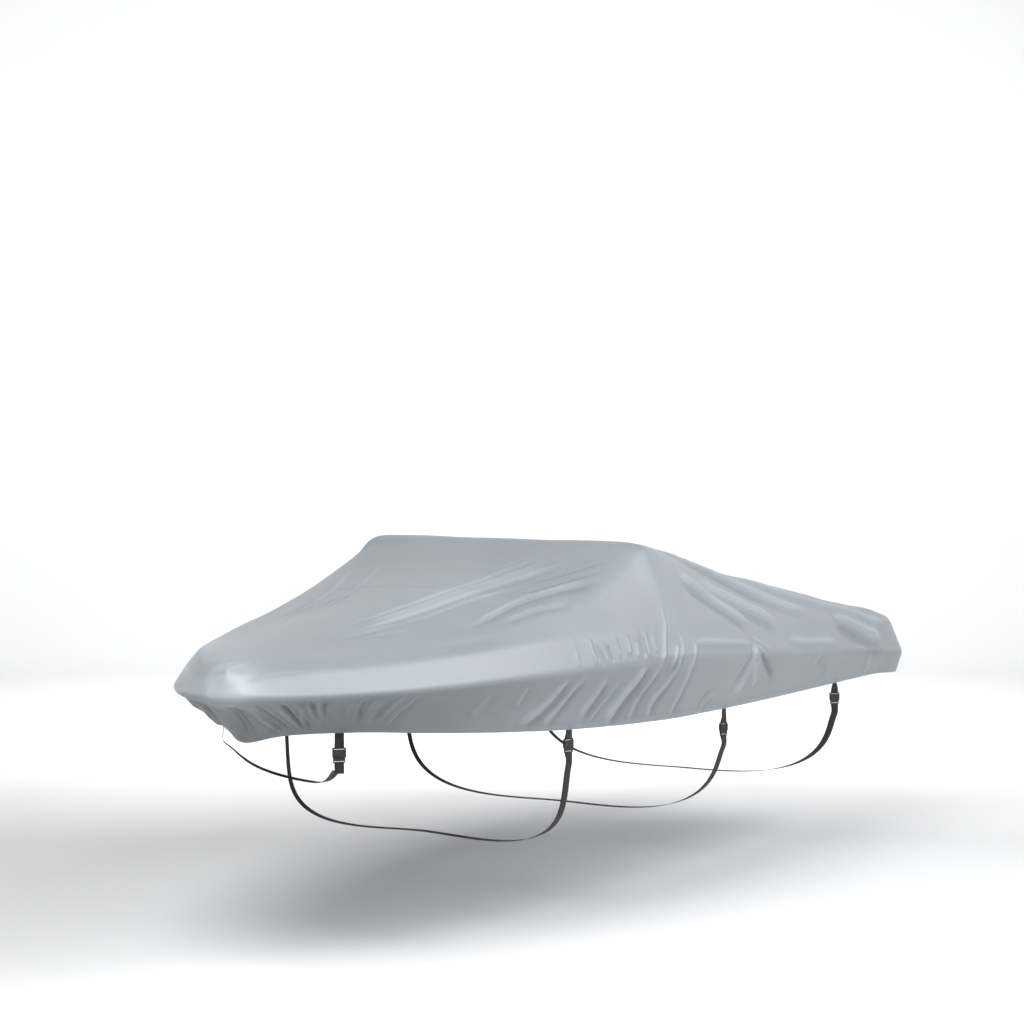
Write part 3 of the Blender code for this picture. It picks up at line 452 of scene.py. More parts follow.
def sheet_points(along, girth, side=PORT):
    """Outer face of one half without folds, a row of points for each place along the rim.

    The starboard half is given mirrored, on the port side. girth is one list for every place, or a
    list for each.
    """
    outline, marks = sections(along, side)
    girths = np.broadcast_to(girth, (len(along), np.shape(girth)[-1]))
    steps = np.linalg.norm(np.diff(outline, axis=0), axis=2)
    lengths = np.concatenate([np.zeros((1, len(along))), np.cumsum(steps, axis=0)])
    points = np.empty((*girths.shape, 3))
    for column in range(len(along)):
        wanted = np.interp(girths[column], range(HEM + 1), lengths[marks, column])
        for axis in range(3):
            points[column, :, axis] = np.interp(wanted, lengths[:, column], outline[:, column, axis])
    return points


def leant(points, side):
    """The same points with the peak lower at its port corner, higher and narrower at the other."""
    outwards = points[..., 1] / PEAK_HALF_WIDTH * np.clip(1 + points[..., 2] / PEAK_FOOT, 0, 1)
    lean = np.clip(1 - (points[..., 0] / PEAK_REACH)**2, 0, 1)**2
    tuck = np.clip(1 - (points[..., 0] / TUCK_REACH)**2, 0, 1)**2
    shifted = points.copy()
    shifted[..., 2] -= side * PEAK_LEAN * outwards * lean
    shifted[..., 1] -= (1 - side) / 2 * PEAK_TUCK * outwards * tuck
    return shifted


def normals_of(points):
    course = np.gradient(points, axis=0)
    fall = np.gradient(points, axis=1)
    return unit(np.cross(course, fall))


def gathered_folds():
    """The folds of every gather, laid out evenly and then shifted a little."""
    chance = np.random.default_rng(GATHER_SEED)
    folds = []
    for gather in GATHERS:
        pitch = 1.0 / gather.count
        for k in range(gather.count):
            share = (k + 0.5) * pitch
            shift = chance.uniform(-1, 1, 5) * gather.uneven
            top = np.interp(share + shift[0] * pitch, [0, 1], gather.rim)
            foot = np.interp(share + shift[1] * pitch, [0, 1], gather.hem)
            reach = gather.girths[1] - gather.girths[0]
            start = (top, gather.girths[0] + GATHER_SPREAD * abs(shift[2]) * reach)
            end = (foot, gather.girths[1] - GATHER_SPREAD * abs(shift[3]) * reach)
            bend = (top + (foot - top) * GATHER_BEND, start[1] + (end[1] - start[1]) * 0.5)
            height = gather.height * (1 + shift[4])
            folds.append(Fold(gather.side, [start, bend, end], gather.widths, height, 1 if k % 2 else -1))
    return folds


ALL_FOLDS = [Fold(side, *row) for side, rows in FOLDS.items() for row in rows] + gathered_folds()


def fold_course(fold):
    """Points on the sheet along a fold, one every few millimetres."""
    places = np.array(fold.course)
    knots = run_lengths(places)
    count = max(int(knots[-1] / FOLD_STEP), 12)
    along, girth = spline(knots, places, np.linspace(0.0, knots[-1], count)).T
    along = np.clip(along, 0.0, RIM_LENGTH)
    return leant(sheet_points(along, girth[:, None], fold.side)[:, 0], fold.side)


def ridge(q):
    """Height of a ridge or tent, 1 on its crest, at distances in its own widths."""
    return np.exp(-FOLD_CRISP * (np.sqrt(q * q + FOLD_CREST**2) - FOLD_CREST))


def fold_relief(points, normals, side):
    """How far each point stands out with the folds: a ridge is positive, a trough negative."""
    relief = np.zeros(points.shape[:2])
    for fold in ALL_FOLDS:
        if fold.side != side:
            continue
        path = fold_course(fold)
        reach = FOLD_REACH * max(fold.widths)
        near = np.all((points > path.min(axis=0) - reach) & (points < path.max(axis=0) + reach), axis=2)
        if not near.any():
            continue
        courses = unit(np.gradient(path, axis=0))
        nearest = (np.sum(path * path, axis=1) - 2 * points[near] @ path.T).argmin(axis=1)
        offset = points[near] - path[nearest]
        course = courses[nearest]
        beyond = np.sum(offset * course, axis=1, keepdims=True)
        aside = offset - course * np.clip(beyond, -reach, reach)
        facing = np.sign(np.sum(np.cross(normals[near], course) * aside, axis=1))
        s = nearest / (len(path) - 1)
        width = fold.widths[0] + (fold.widths[1] - fold.widths[0]) * s
        q = np.linalg.norm(aside, axis=1) / width
        shape = ridge(q)
        if fold.dip:
            shape = shape - DIP_SHARE * np.exp(-(q * facing * fold.dip - DIP_PLACE)**2)
        fade = smooth_step(np.minimum(s, 1 - s) / FOLD_FADE) * (np.abs(beyond[:, 0]) < width)
        relief[near] += fold.height * fade * shape
    return relief


def tent_relief(points, side):
    """Tents over what stands up under the cloth, which may reach over the centre plane."""
    relief = np.zeros(points.shape[:2])
    for bump in BUMPS:
        place = leant(sheet_points(np.array([bump.place[0]]), np.array([bump.place[1]])), PORT)[0, 0]
        place[1] *= bump.side * side
        q = np.linalg.norm(points - place, axis=2) / bump.radius
        relief += bump.height * ridge(q)
    return relief


def undulation(points, side):
    """Slack of the cloth between its folds: a few long low waves across each other."""
    chance = np.random.default_rng(SLACK_SEED)
    places = mirrored(points, side)
    height = np.zeros(points.shape[:2])
    for _ in range(SLACK_WAVES):
        direction = unit(chance.normal(size=3))
        length = chance.uniform(*SLACK_LENGTHS)
        phase = chance.uniform(0, 2 * math.pi)
        height += np.sin(places @ direction * 2 * math.pi / length + phase)
    return height * SLACK_HEIGHT / math.sqrt(SLACK_WAVES)


def stem_rounded(points, along, girth, side):
    """One half's points with the stem's edge below the rim rounded, and its end on the centre plane."""
    left = RIM_LENGTH - along
    near = left < STEM_REACH
    if not near.any():
        return points
    start, tip = sheet_points(np.array([RIM_LENGTH - STEM_REACH, RIM_LENGTH]), girth, side)
    tip[:, 1] = 0.0
    t = (0.5 * (1 - left[near] / STEM_REACH))[:, None, None]
    arc = (1 - t)**2 * start + 2 * t * (1 - t) * tip + t**2 * start * MIRROR
    share = smooth_step((np.asarray(girth) - RIM - STEM_BAND[0]) / STEM_BAND[1])[None, :, None]
    turned = points.copy()
    turned[near] = points[near] * (1 - share) + arc * share
    pull = smooth_step(1 - left[near] / STEM_PULL)[:, None]
    turned[near, :, 1] -= pull * (turned[left.argmin(), :, 1] * (left.min() < 1e-6))
    return turned


def girth_rows(bands):
    """Girths of a panel's rows, crest to hem, with two more rows in the turned hem."""
    rows = []
    for band, count in enumerate(bands):
        end = band + 1 if band < RIM else HEM - HEM_BAND
        rows += list(np.linspace(band, end, count, endpoint=False))
    return np.array(rows + [HEM - HEM_BAND, HEM - HEM_BAND / 2, HEM])


def rim_columns(start, stretches):
    places = []
    for stretch in stretches:
        end = min(stretch.end, RIM_LENGTH)
        places += list(np.linspace(start, end, stretch.columns, endpoint=False))
        start = end
    return np.array(places + [start])


HemFrame = namedtuple("HemFrame", "head course up out warp")


def hem_frame(forward):
    """Where a strap at this place meets the port hem: its head, the hem's course, up and out."""
    tries = np.linspace(STRAP_MARGINS[0], RIM_LENGTH - STRAP_MARGINS[1], STRAP_TRIES)
    hems = sheet_points(tries, np.array([HEM]))[:, 0]
    along = np.interp(forward, hems[:, 0], tries)
    near = np.array([along - STRAP_BAY, along + STRAP_BAY])
    corners = sheet_points(near, np.array([HEM - STRAP_BAND, HEM]))
    head = corners[:, 1].mean(axis=0)
    course = unit(corners[1, 1] - corners[0, 1])
    up = unit(corners[:, 0].mean(axis=0) - head)
    out = unit(np.cross(up, course))
    warp = np.abs((corners - head) @ out).max()
    return HemFrame(head, course, up, out, warp)


def strap_calm(points):
    """0 where a strap is sewn to the hem, so that the cloth lies flat there, and 1 away from straps."""
    calm = np.ones(points.shape[:2])
    for strap in STRAPS:
        reach = np.linalg.norm(points - hem_frame(strap.forward).head, axis=2) / STRAP_CALM
        calm = calm * smooth_step(reach - STRAP_FLAT)
    return calm


def cloth_surface(along, girth, side):
    """Outer face of one half with its folds, and each point's relief."""
    base = stem_rounded(sheet_points(along, girth, side), along, girth, side)
    points = leant(base, side)
    normals = normals_of(base)
    relief = fold_relief(points, normals, side)
    relief *= smooth_step(np.abs(points[..., 1]) / CENTRE_CALM)
    relief += tent_relief(points, side)
    calm = strap_calm(points)
    slack = undulation(points, side) * np.clip((HEM - girth) / SLACK_FADE, 0.0, 1.0)
    relief = (relief + slack) * calm
    channel = np.clip((girth - (HEM - HEM_BAND)) / HEM_BAND, 0.0, 1.0)
    puff = 4 * channel * (1 - channel) * HEM_PUFF * calm
    return points + normals * (relief + puff)[..., None], relief


class Value:
    """One socket of a material. Arithmetic on it adds the Math nodes."""

    def __init__(self, finish, socket):
        self.finish = finish
        self.socket = socket

    def math(self, operation, first, second=0.0):
        return self.finish.node("ShaderNodeMath", {"operation": operation}, {0: first, 1: second})

    def __add__(self, other):
        return self.math("ADD", self, other)

    def __sub__(self, other):
        return self.math("SUBTRACT", self, other)

    def __rsub__(self, other):
        return self.math("SUBTRACT", other, self)

    def __mul__(self, other):
        return self.math("MULTIPLY", self, other)

    def __mod__(self, other):
        return self.math("FLOORED_MODULO", self, other)

    def absolute(self):
        return self.math("ABSOLUTE", self)

    def floor(self):
        return self.math("FLOOR", self)

    def ridges(self, pitch=1.0):
        """Rounded ridges, from 0 to 1, that follow each other at this pitch."""
        return self.math("SINE", self * (math.pi / pitch)).absolute()

    __radd__ = __add__


class Finish:
    """A procedural material: its nodes, and the sockets of its Principled shader."""

    def __init__(self, name, fixed):
        self.material = bpy.data.materials.new(name)
        self.material.use_nodes = True
        self.tree = self.material.node_tree
        self.shader = self.tree.nodes["Principled BSDF"]
        for word, value in fixed.items():
            self.shader.inputs[word].default_value = value

    def node(self, kind, settings=None, inputs=None, output=0):
        """Adds a node with its settings, then its inputs, which are numbers or Values."""
        node = self.tree.nodes.new(kind)
        for word, value in (settings or {}).items():
            setattr(node, word, value)
        for socket, value in (inputs or {}).items():
            if isinstance(value, Value):
                self.tree.links.new(value.socket, node.inputs[socket])
            else:
                node.inputs[socket].default_value = value
        return Value(self, node.outputs[output])

    def feed(self, word, value):
        self.tree.links.new(value.socket, self.shader.inputs[word])

    def place(self):
        return self.node("ShaderNodeTexCoord", output="Object")

    def flat_place(self):
        """(u, v) of the piece's own map, in metres."""
        return self.node("ShaderNodeUVMap", {"uv_map": MAP_NAME})

    def attribute(self, name):
        return self.node("ShaderNodeAttribute", {"attribute_name": name}, output="Fac")

    def parts(self, vector):
        split = self.node("ShaderNodeSeparateXYZ", inputs={0: vector})
        return [Value(self, socket) for socket in split.socket.node.outputs]

    def scaled(self, vector, scale):
        return self.node("ShaderNodeVectorMath", {"operation": "MULTIPLY"}, {0: vector, 1: scale})

    def noise(self, vector, size, detail=2.0, roughness=0.5, distortion=0.0):
        inputs = {"Vector": vector, "Scale": 1.0 / size, "Detail": detail, "Roughness": roughness,
                  "Distortion": distortion}
        return self.node("ShaderNodeTexNoise", inputs=inputs)

    def range(self, value, low, high, to_low=0.0, to_high=1.0):
        inputs = {"Value": value, "From Min": low, "From Max": high, "To Min": to_low, "To Max": to_high}
        return self.node("ShaderNodeMapRange", {"interpolation_type": "SMOOTHSTEP"}, inputs)

    def mix(self, share, first, second):
        """Colour between two, either of which is a tuple or a Value."""
        colours = [colour if isinstance(colour, Value) else (*colour, 1.0) for colour in (first, second)]
        settings = {"data_type": "RGBA"}
        return self.node("ShaderNodeMix", settings, {0: share, 6: colours[0], 7: colours[1]}, output=2)

    def times(self, colour, tone):
        settings = {"data_type": "RGBA", "blend_type": "MULTIPLY"}
        return self.node("ShaderNodeMix", settings, {0: 1.0, 6: (*colour, 1.0), 7: tone}, output=2)

    def bump(self, height, distance, under=None):
        inputs = {"Height": height, "Distance": distance, "Strength": 1.0}
        if under:
            inputs["Normal"] = under
        return self.node("ShaderNodeBump", inputs=inputs)


def shade(colour, factor):
    return tuple(channel * factor for channel in colour)


def woven(finish, place, pitch):
    """Height of a plain weave: threads that pass over and under each other, from 0 to 1."""
    u, v, _ = finish.parts(finish.scaled(place, (1 / pitch, 1 / pitch, 0.0)))
    over = (u.floor() + v.floor()) % 2.0
    return u.ridges() * over + v.ridges() * (1 - over)


def cover_polyester(settings):
    """Coated woven polyester: fine weave, soft mottling, a painted highlight on ridges and on the band
    above the rim at the bow, and painted shade in dips and on the skirt.
    """
    fixed = {"Specular IOR Level": 0.45, "Sheen Weight": 0.25, "Sheen Roughness": 0.4,
             "Sheen Tint": (0.85, 0.92, 1.0, 1.0)}
    finish = Finish("cover polyester", fixed)
    flat = finish.flat_place()
    fold = finish.attribute("fold")
    girth = finish.attribute("girth")
    along = finish.attribute("along")
    mottle = finish.noise(finish.place(), 0.42, detail=4.0, roughness=0.55)
    fine = finish.noise(flat, 0.030, detail=3.0, roughness=0.6)
    tone = finish.range(mottle, 0.30, 0.70, 0.965, 1.035) * finish.range(fine, 0.25, 0.75, 1.01, 0.985)
    # Painted highlight on the ridges and painted shade in the dips of the folds
    tone = tone * finish.range(fold, 0.1, 1.0, 1.0, RIDGE_HIGHLIGHT)
    tone = tone * finish.range(fold * -1.0, 0.1, 0.9, 1.0, DIP_SHADE)
    # Painted shade on the skirt below the rim, deeper towards the bow
    skirt = finish.range(girth, RIM - 0.05, RIM + 0.12)
    bow = finish.range(along, *BOW_SPAN)
    tone = tone * (1 - skirt * (STERN_SKIRT_SHADE + bow * (BOW_SKIRT_SHADE - STERN_SKIRT_SHADE)))
    # Painted highlight on the band above the rim, towards the bow
    band = finish.range(girth, WAIST - 0.05, WAIST + 0.25) * (1 - skirt)
    tone = tone * (1 + band * bow * BAND_HIGHLIGHT)
    hem_line = finish.range((girth - (HEM - HEM_BAND)).absolute(), 0.0, 0.014, 1.0, 0.0)
    tone = tone * (1 - hem_line * HEM_SHADE)
    seam_line = finish.range((along - SEAM_PLACE + 0.007).absolute(), 0.002, 0.007, 1.0, 0.0)
    tone = tone * (1 - seam_line * SEAM_SHADE)
    finish.feed("Base Color", finish.times(tuple(settings.cloth_colour), tone))
    rough = finish.range(mottle, 0.3, 0.7, 0.46, 0.55)
    finish.feed("Roughness", rough + finish.range(fold, 0.1, 1.0, 0.0, -0.05))
    drawn = finish.scaled(flat, (1.0, 2.2, 1.0))
    crumple = finish.noise(drawn, 0.16, detail=5.0, roughness=0.55, distortion=0.4)
    soft = finish.bump(crumple, settings.crumple_height)
    weave = finish.bump(woven(finish, flat, settings.weave_pitch), settings.weave_pitch * 0.05, soft)
    finish.feed("Normal", weave)
    return finish.material


def strap_webbing(settings):
    """Black polypropylene webbing: lengthwise ribs under a herringbone, firm selvages, slight dust,
    painted shade in the weave's grooves and painted highlights on its raised threads.
    """
    finish = Finish("strap webbing", {"Specular IOR Level": 0.3, "Sheen Weight": 0.1})
    flat = finish.flat_place()
    u, v, _ = finish.parts(flat)
    colour = tuple(settings.webbing_colour)
    rib = u.ridges(RIB_PITCH)
    twill = (u.absolute() * 0.9 + v).ridges(TWILL_PITCH)
    selvage = finish.range(u.absolute(), settings.webbing_width * 0.42, settings.webbing_width * 0.46)
    height = rib * 0.6 + twill * 0.4 + selvage * 0.5
    dust = finish.noise(finish.place(), 0.018, detail=4.0, roughness=0.65)
    # Painted shade in the weave's grooves and painted highlight on its raised threads and selvages,
    # following the bump's height
    base = finish.mix(finish.range(height, 0.2, 1.1), shade(colour, 0.55), shade(colour, 1.5))
    base = finish.mix(finish.range(dust, 0.52, 0.80) * 0.35, base, shade((0.35, 0.34, 0.32), 0.35))
    finish.feed("Base Color", base)
    finish.feed("Roughness", finish.range(dust, 0.3, 0.7, 0.62, 0.80))
    finish.feed("Normal", finish.bump(height, 0.0005))
    return finish.material


def moulded_plastic(settings):
    """Black acetal of the buckles: fine moulded grain, faint handling marks."""
    finish = Finish("buckle plastic", {"Specular IOR Level": 0.5, "Coat Weight": 0.05})
    place = finish.place()
    colour = tuple(settings.buckle_colour)
    grain = finish.noise(place, 0.0009, detail=2.0)
    marks = finish.noise(finish.scaled(place, (1.0, 1.0, 3.0)), 0.012, detail=4.0, roughness=0.6)
    base = finish.mix(finish.range(marks, 0.45, 0.75) * 0.4, colour, shade(colour, 2.2))
    finish.feed("Base Color", base)
    finish.feed("Roughness", finish.range(marks, 0.3, 0.7, 0.36, 0.52))
    finish.feed("Normal", finish.bump(grain, 0.00006))
    return finish.material


def sewing_thread(name, colour):
    """Bonded polyester thread: two plies that twist round each other."""
    finish = Finish(name, {"Roughness": 0.55, "Specular IOR Level": 0.5, "Sheen Weight": 0.2})
    x, y, z = finish.parts(finish.place())
    ply = (x + y * 1.3 + z * 0.7).ridges(PLY_PITCH)
    # Painted shade between the twisted plies and painted highlight on their crowns, following the bump's
    # height
    finish.feed("Base Color", finish.mix(ply, shade(colour, 0.7), shade(colour, 1.1)))
    finish.feed("Normal", finish.bump(ply, 0.0001))
    return finish.material


def placed(name, data):
    """Object with this data in the scene."""
    thing = bpy.data.objects.new(name, data)
    bpy.context.scene.collection.objects.link(thing)
    return thing


def new_piece(name, verts, faces, material, map_places=None):
    """Mesh object with smooth faces and, if given, one (u, v) place for each face corner."""
    mesh = bpy.data.meshes.new(name)
    mesh.from_pydata(verts, [], faces)
    mesh.shade_smooth()
    if map_places is not None:
        layer = mesh.uv_layers.new(name=MAP_NAME)
        layer.data.foreach_set("uv", np.array(map_places, dtype=float).ravel())
    mesh.materials.append(material)
    return placed(name, mesh)


def make_plain(piece):
    """Makes the piece a plain mesh, with its modifiers applied."""
    view = bpy.context.evaluated_depsgraph_get()
    mesh = bpy.data.meshes.new_from_object(piece.evaluated_get(view))
    mesh.name = piece.name
    piece.modifiers.clear()
    piece.data = mesh


def panel_grid(columns, rows, side, settings):
    """Points, outward normals and relief of one half of a panel, with the hem turned up inside."""
    margin = columns[1] - columns[0], columns[-1] - columns[-2]
    wider = np.concatenate([[columns[0] - margin[0]], columns, [columns[-1] + margin[1]]])
    points, relief = cloth_surface(np.clip(wider, 0.0, RIM_LENGTH), rows, side)
    normals = normals_of(points)
    foot, fall = points[:, -1], unit(points[:, -1] - points[:, -2])
    inside = [foot + fall * drop - normals[:, -1] * share * settings.hem_thickness
              for drop, share in HEM_TURN]
    band = int(np.searchsorted(rows, HEM - HEM_BAND - 1e-6))
    inside.append(points[:, band] - normals[:, band] * settings.cloth_thickness)
    grid = np.concatenate([points, np.stack(inside, axis=1)], axis=1)
    return mirrored(grid, side)[1:-1], mirrored(normals_of(grid), side)[1:-1], relief[1:-1]


def cloth_panel(name, columns, bands, shared_column, settings, material):
    """Both halves of a sewn panel as one sheet, which joins the next panel without a step.

    shared_column is the one where the halves meet at the stern or stem: 0 or -1.
    """
    rows = girth_rows(bands)
    turned = len(HEM_TURN) + 1
    count, height = len(columns), len(rows) + turned
    shared = shared_column % count
    verts, normals, faces, places, folds, girths, alongs = [], [], [], [], [], [], []
    index = {}
    for side in (PORT, STARBOARD):
        points, outwards, relief = panel_grid(columns, rows, side, settings)
        fall = np.array([run_lengths(column) for column in points])
        numbers = np.empty((count, height), dtype=int)
        for i in range(count):
            for j in range(height):
                key = (0 if j == 0 or i == shared else side, i, j)
                if key in index:
                    normals[index[key]] = normals[index[key]] + outwards[i, j]
                else:
                    index[key] = len(verts)
                    verts.append(points[i, j])
                    normals.append(outwards[i, j])
                    row = min(j, len(rows) - 1)
                    folds.append(np.clip(relief[i, row] / FOLD_TONE, -1, 1))
                    girths.append(rows[row])
                    alongs.append(columns[i])
                numbers[i, j] = index[key]
        flat = np.stack([np.broadcast_to(columns[:, None] * side, fall.shape), fall], axis=2)
        corners = [(0, 0), (1, 0), (1, 1), (0, 1)][::side]
        i, j = np.meshgrid(range(count - 1), range(height - 1), indexing="ij")
        faces.append(np.stack([numbers[i + a, j + b] for a, b in corners], axis=2).reshape(-1, 4))
        places.append(np.stack([flat[i + a, j + b] for a, b in corners], axis=2).reshape(-1, 2))
    piece = new_piece(name, np.array(verts).tolist(), np.concatenate(faces).tolist(), material,
                      np.concatenate(places))
    for word, values in (("fold", folds), ("girth", girths), ("along", alongs)):
        layer = piece.data.attributes.new(word, "FLOAT", "POINT")
        layer.data.foreach_set("value", np.array(values, dtype=float))
    piece.data.normals_split_custom_set_from_vertices(unit(np.array(normals)).tolist())
    return piece


def build_cloth(settings):
    """The aft and fore panels of the cover."""
    material = cover_polyester(settings)
    aft = rim_columns(0.0, AFT_STRETCHES)
    fore = rim_columns(SEAM_PLACE, FORE_STRETCHES)
    return [cloth_panel("cover_aft_panel", aft, AFT_BANDS, 0, settings, material),
            cloth_panel("cover_fore_panel", fore, FORE_BANDS, -1, settings, material)]


def stitch_tree():
    """Geometry Nodes that lay stitches along a line at an even pitch."""
    tree = bpy.data.node_groups.new("stitches", "GeometryNodeTree")
    for word, way, kind in (("Line", "INPUT", "Geometry"), ("Pitch", "INPUT", "Float"),
                            ("Length", "INPUT", "Float"), ("Thickness", "INPUT", "Float"),
                            ("Thread", "INPUT", "Material"), ("Stitches", "OUTPUT", "Geometry")):
        tree.interface.new_socket(word, in_out=way, socket_type=f"NodeSocket{kind}")
    given = tree.nodes.new("NodeGroupInput")
    curve = tree.nodes.new("GeometryNodeMeshToCurve")
    spaced = tree.nodes.new("GeometryNodeResampleCurve")
    spaced.mode = "LENGTH"
    tangent = tree.nodes.new("GeometryNodeInputTangent")
    turned = tree.nodes.new("FunctionNodeAlignRotationToVector")
    turned.axis = "Z"
    ball = tree.nodes.new("GeometryNodeMeshUVSphere")
    for word, value in (("Segments", 6), ("Rings", 4), ("Radius", 0.5)):
        ball.inputs[word].default_value = value
    size = tree.nodes.new("ShaderNodeCombineXYZ")
    laid = tree.nodes.new("GeometryNodeInstanceOnPoints")
    real = tree.nodes.new("GeometryNodeRealizeInstances")
    dyed = tree.nodes.new("GeometryNodeSetMaterial")
    result = tree.nodes.new("NodeGroupOutput")
    for start, output, end, entry in (
            (given, "Line", curve, "Mesh"), (curve, "Curve", spaced, "Curve"),
            (given, "Pitch", spaced, "Length"), (tangent, "Tangent", turned, "Vector"),
            (given, "Thickness", size, "X"), (given, "Thickness", size, "Y"),
            (given, "Length", size, "Z"), (spaced, "Curve", laid, "Points"),
            (ball, "Mesh", laid, "Instance"), (turned, "Rotation", laid, "Rotation"),
            (size, "Vector", laid, "Scale"), (laid, "Instances", real, "Geometry"),
            (real, "Geometry", dyed, "Geometry"), (given, "Thread", dyed, "Material"),
            (dyed, "Geometry", result, "Stitches")):
        tree.links.new(start.outputs[output], end.inputs[entry])
    return tree


def stitched(name, lines, pitch, length, thickness, thread):
    """A piece of stitches along one or more lines of points."""
    mesh = bpy.data.meshes.new(name)
    verts = [tuple(point) for line in lines for point in line]
    edges, first = [], 0
    for line in lines:
        edges += [(first + k, first + k + 1) for k in range(len(line) - 1)]
        first += len(line)
    mesh.from_pydata(verts, edges, [])
    piece = placed(name, mesh)
    tree = bpy.data.node_groups.get("stitches") or stitch_tree()
    sewn = piece.modifiers.new("stitches", "NODES")
    sewn.node_group = tree
    values = {"Pitch": pitch, "Length": length, "Thickness": thickness, "Thread": thread}
    for item in tree.interface.items_tree:
        if item.name in values:
            sewn[item.identifier] = values[item.name]
    make_plain(piece)
    piece.data.shade_smooth()
    return piece


def blend(first, second, share):
    """Unit direction part of the way from one to the other."""
    return unit(first * (1 - share) + second * share)


def dense(points, spacing):
    """The same route with points this far apart or closer, and each given point among them."""
    points = np.array(points)
    knots = run_lengths(points)
    at = [0.0]
    for start, end in zip(knots, knots[1:]):
        count = max(2, math.ceil((end - start) / spacing))
        at += list(np.linspace(start, end, count + 1)[1:])
    return spline(knots, points, np.array(at)), knots, np.array(at)


def webbing_piece(name, controls, settings, material):
    """Webbing swept through (point, direction of its width) pairs, with round selvages."""
    path, knots, at = dense([point for point, _ in controls], settings.webbing_step)
    wide = np.array([across for _, across in controls])
    across = np.stack([np.interp(at, knots, wide[:, axis]) for axis in range(3)], axis=1)
    courses = unit(np.gradient(path, axis=0))
    across = unit(across - courses * np.sum(across * courses, axis=1, keepdims=True))
    face = np.cross(courses, across)
    outline = np.array(WEBBING_OUTLINE) * (settings.webbing_width / 2, settings.webbing_thickness / 2)
    rings = path[:, None] + across[:, None] * outline[:, 0, None] + face[:, None] * outline[:, 1, None]
    run = run_lengths(path)
    count, around = rings.shape[:2]
    faces, places = [], []
    for i in range(count - 1):
        for k in range(around):
            n = (k + 1) % around
            faces.append([i * around + k, i * around + n, (i + 1) * around + n, (i + 1) * around + k])
            places += [(outline[k, 0], run[i]), (outline[n, 0], run[i]),
                       (outline[n, 0], run[i + 1]), (outline[k, 0], run[i + 1])]
    for first, order in ((0, range(around - 1, -1, -1)), ((count - 1) * around, range(around))):
        faces.append([first + k for k in order])
        places += [(outline[k, 0], run[first // around]) for k in order]
    piece = new_piece(name, rings.reshape(-1, 3).tolist(), faces, material, places)
    shape = bmesh.new()
    shape.from_mesh(piece.data)
    bmesh.ops.recalc_face_normals(shape, faces=shape.faces)
    shape.to_mesh(piece.data)
    shape.free()
    piece.data.set_sharp_from_angle(angle=math.radians(WOVEN_EDGE))
    return piece


def loop_radius(settings):
    """From a bar's middle to the middle of the webbing round it."""
    return BAR_HALF * math.sqrt(2) + LOOP_SLACK + settings.webbing_thickness / 2


def loop_points(anchor, out, turn, settings):
    """Webbing round a bar, from its front layer at the anchor to the end sewn back behind it.

    turn is -1 where the loop passes under the bar, 1 where it passes over it.
    """
    radius = loop_radius(settings)
    up = -DOWN
    points = []
    for angle in np.linspace(0.0, math.pi, 11):
        back = out * radius * (1 - math.cos(angle))
        points.append(anchor - back + up * turn * radius * math.sin(angle))
    points.append(anchor - out * 1.5 * radius - up * turn * 0.4 * FOLDED_BACK)
    points.append(anchor - out * (settings.webbing_thickness + 2 * GAP) - up * turn * FOLDED_BACK)
    return points


StrapRoute = namedtuple("StrapRoute", "tab long place")


def strap_route(strap, settings):
    """Controls of a strap's tab and long webbing, and the buckle's place."""
    hem = hem_frame(strap.forward)
    inside = settings.hem_thickness + hem.warp + GAP + settings.webbing_thickness / 2
    course = unit(hem.course * np.array([1.0, 1.0, 0.0]))
    turned = np.array(Matrix.Rotation(-strap.twist, 3, "Z") @ Vector(course))
    out = unit(np.cross(turned, DOWN))
    foot = hem.head - hem.out * inside
    start = [foot + hem.up * SEWN_LENGTH, foot + hem.up * SEWN_LENGTH / 2, foot + hem.up * HEM_EXIT[0],
             foot + DOWN * HEM_EXIT[1]]
    anchor = start[-1] * np.array([1.0, 1.0, 0.0]) + DOWN * (strap.tab - hem.head[2])
    loop = loop_points(anchor, out, -1, settings)
    tab = [(point, course) for point in start[:3]] + [(start[3], blend(course, turned, 0.4))]
    tab.append((anchor - DOWN * TAB_TURN[0], blend(course, turned, 0.9)))
    tab += [(point, turned) for point in [anchor - DOWN * TAB_TURN[1]] + loop]

    axes = Matrix((turned, DOWN, out)).transposed().to_4x4()
    place = Matrix.Translation(anchor - out * loop_radius(settings)) @ axes

    bar = anchor + DOWN * PLUG_BAR
    loop = loop_points(bar, out, 1, settings)[::-1]
    bend = np.array([strap.forward - STRAP_BEND_SHARE * strap.rake, strap.bend[0], -strap.bend[1]])
    middle = np.array([strap.forward - strap.rake, 0.0, -strap.middle])
    end = [point * MIRROR for point in start[::-1]]
    level = np.array([1.0, 0.0, 0.0])
    opposite = course * MIRROR
    turns = [bar + DOWN * PLUG_TURN[1], bend, middle, bend * MIRROR, end[0] + DOWN * END_TURN[1]]
    route, _, at = dense(turns, ROUTE_STEP)
    long = [(point, turned) for point in loop + [bar + DOWN * PLUG_TURN[0]]]
    for point, share in zip(route, 2 * at / at[-1]):
        ahead = blend(turned, level, share) if share < 1 else blend(level, opposite, share - 1)
        long.append((point, ahead))
    long += [(point, opposite) for point in [end[0] + DOWN * END_TURN[0]] + end]
    return StrapRoute(tab, long, place)


def build_webbing(settings):
    """The sewn tabs on the port side and the long webbings round to the starboard hem."""
    material = strap_webbing(settings)
    pieces = {}
    for number, strap in enumerate(STRAPS, start=1):
        route = strap_route(strap, settings)
        for word, controls in (("tab", route.tab), ("webbing", route.long)):
            name = f"strap_{number}_{word}"
            pieces[name] = webbing_piece(f"{name}_woven", controls, settings, material)
    return pieces


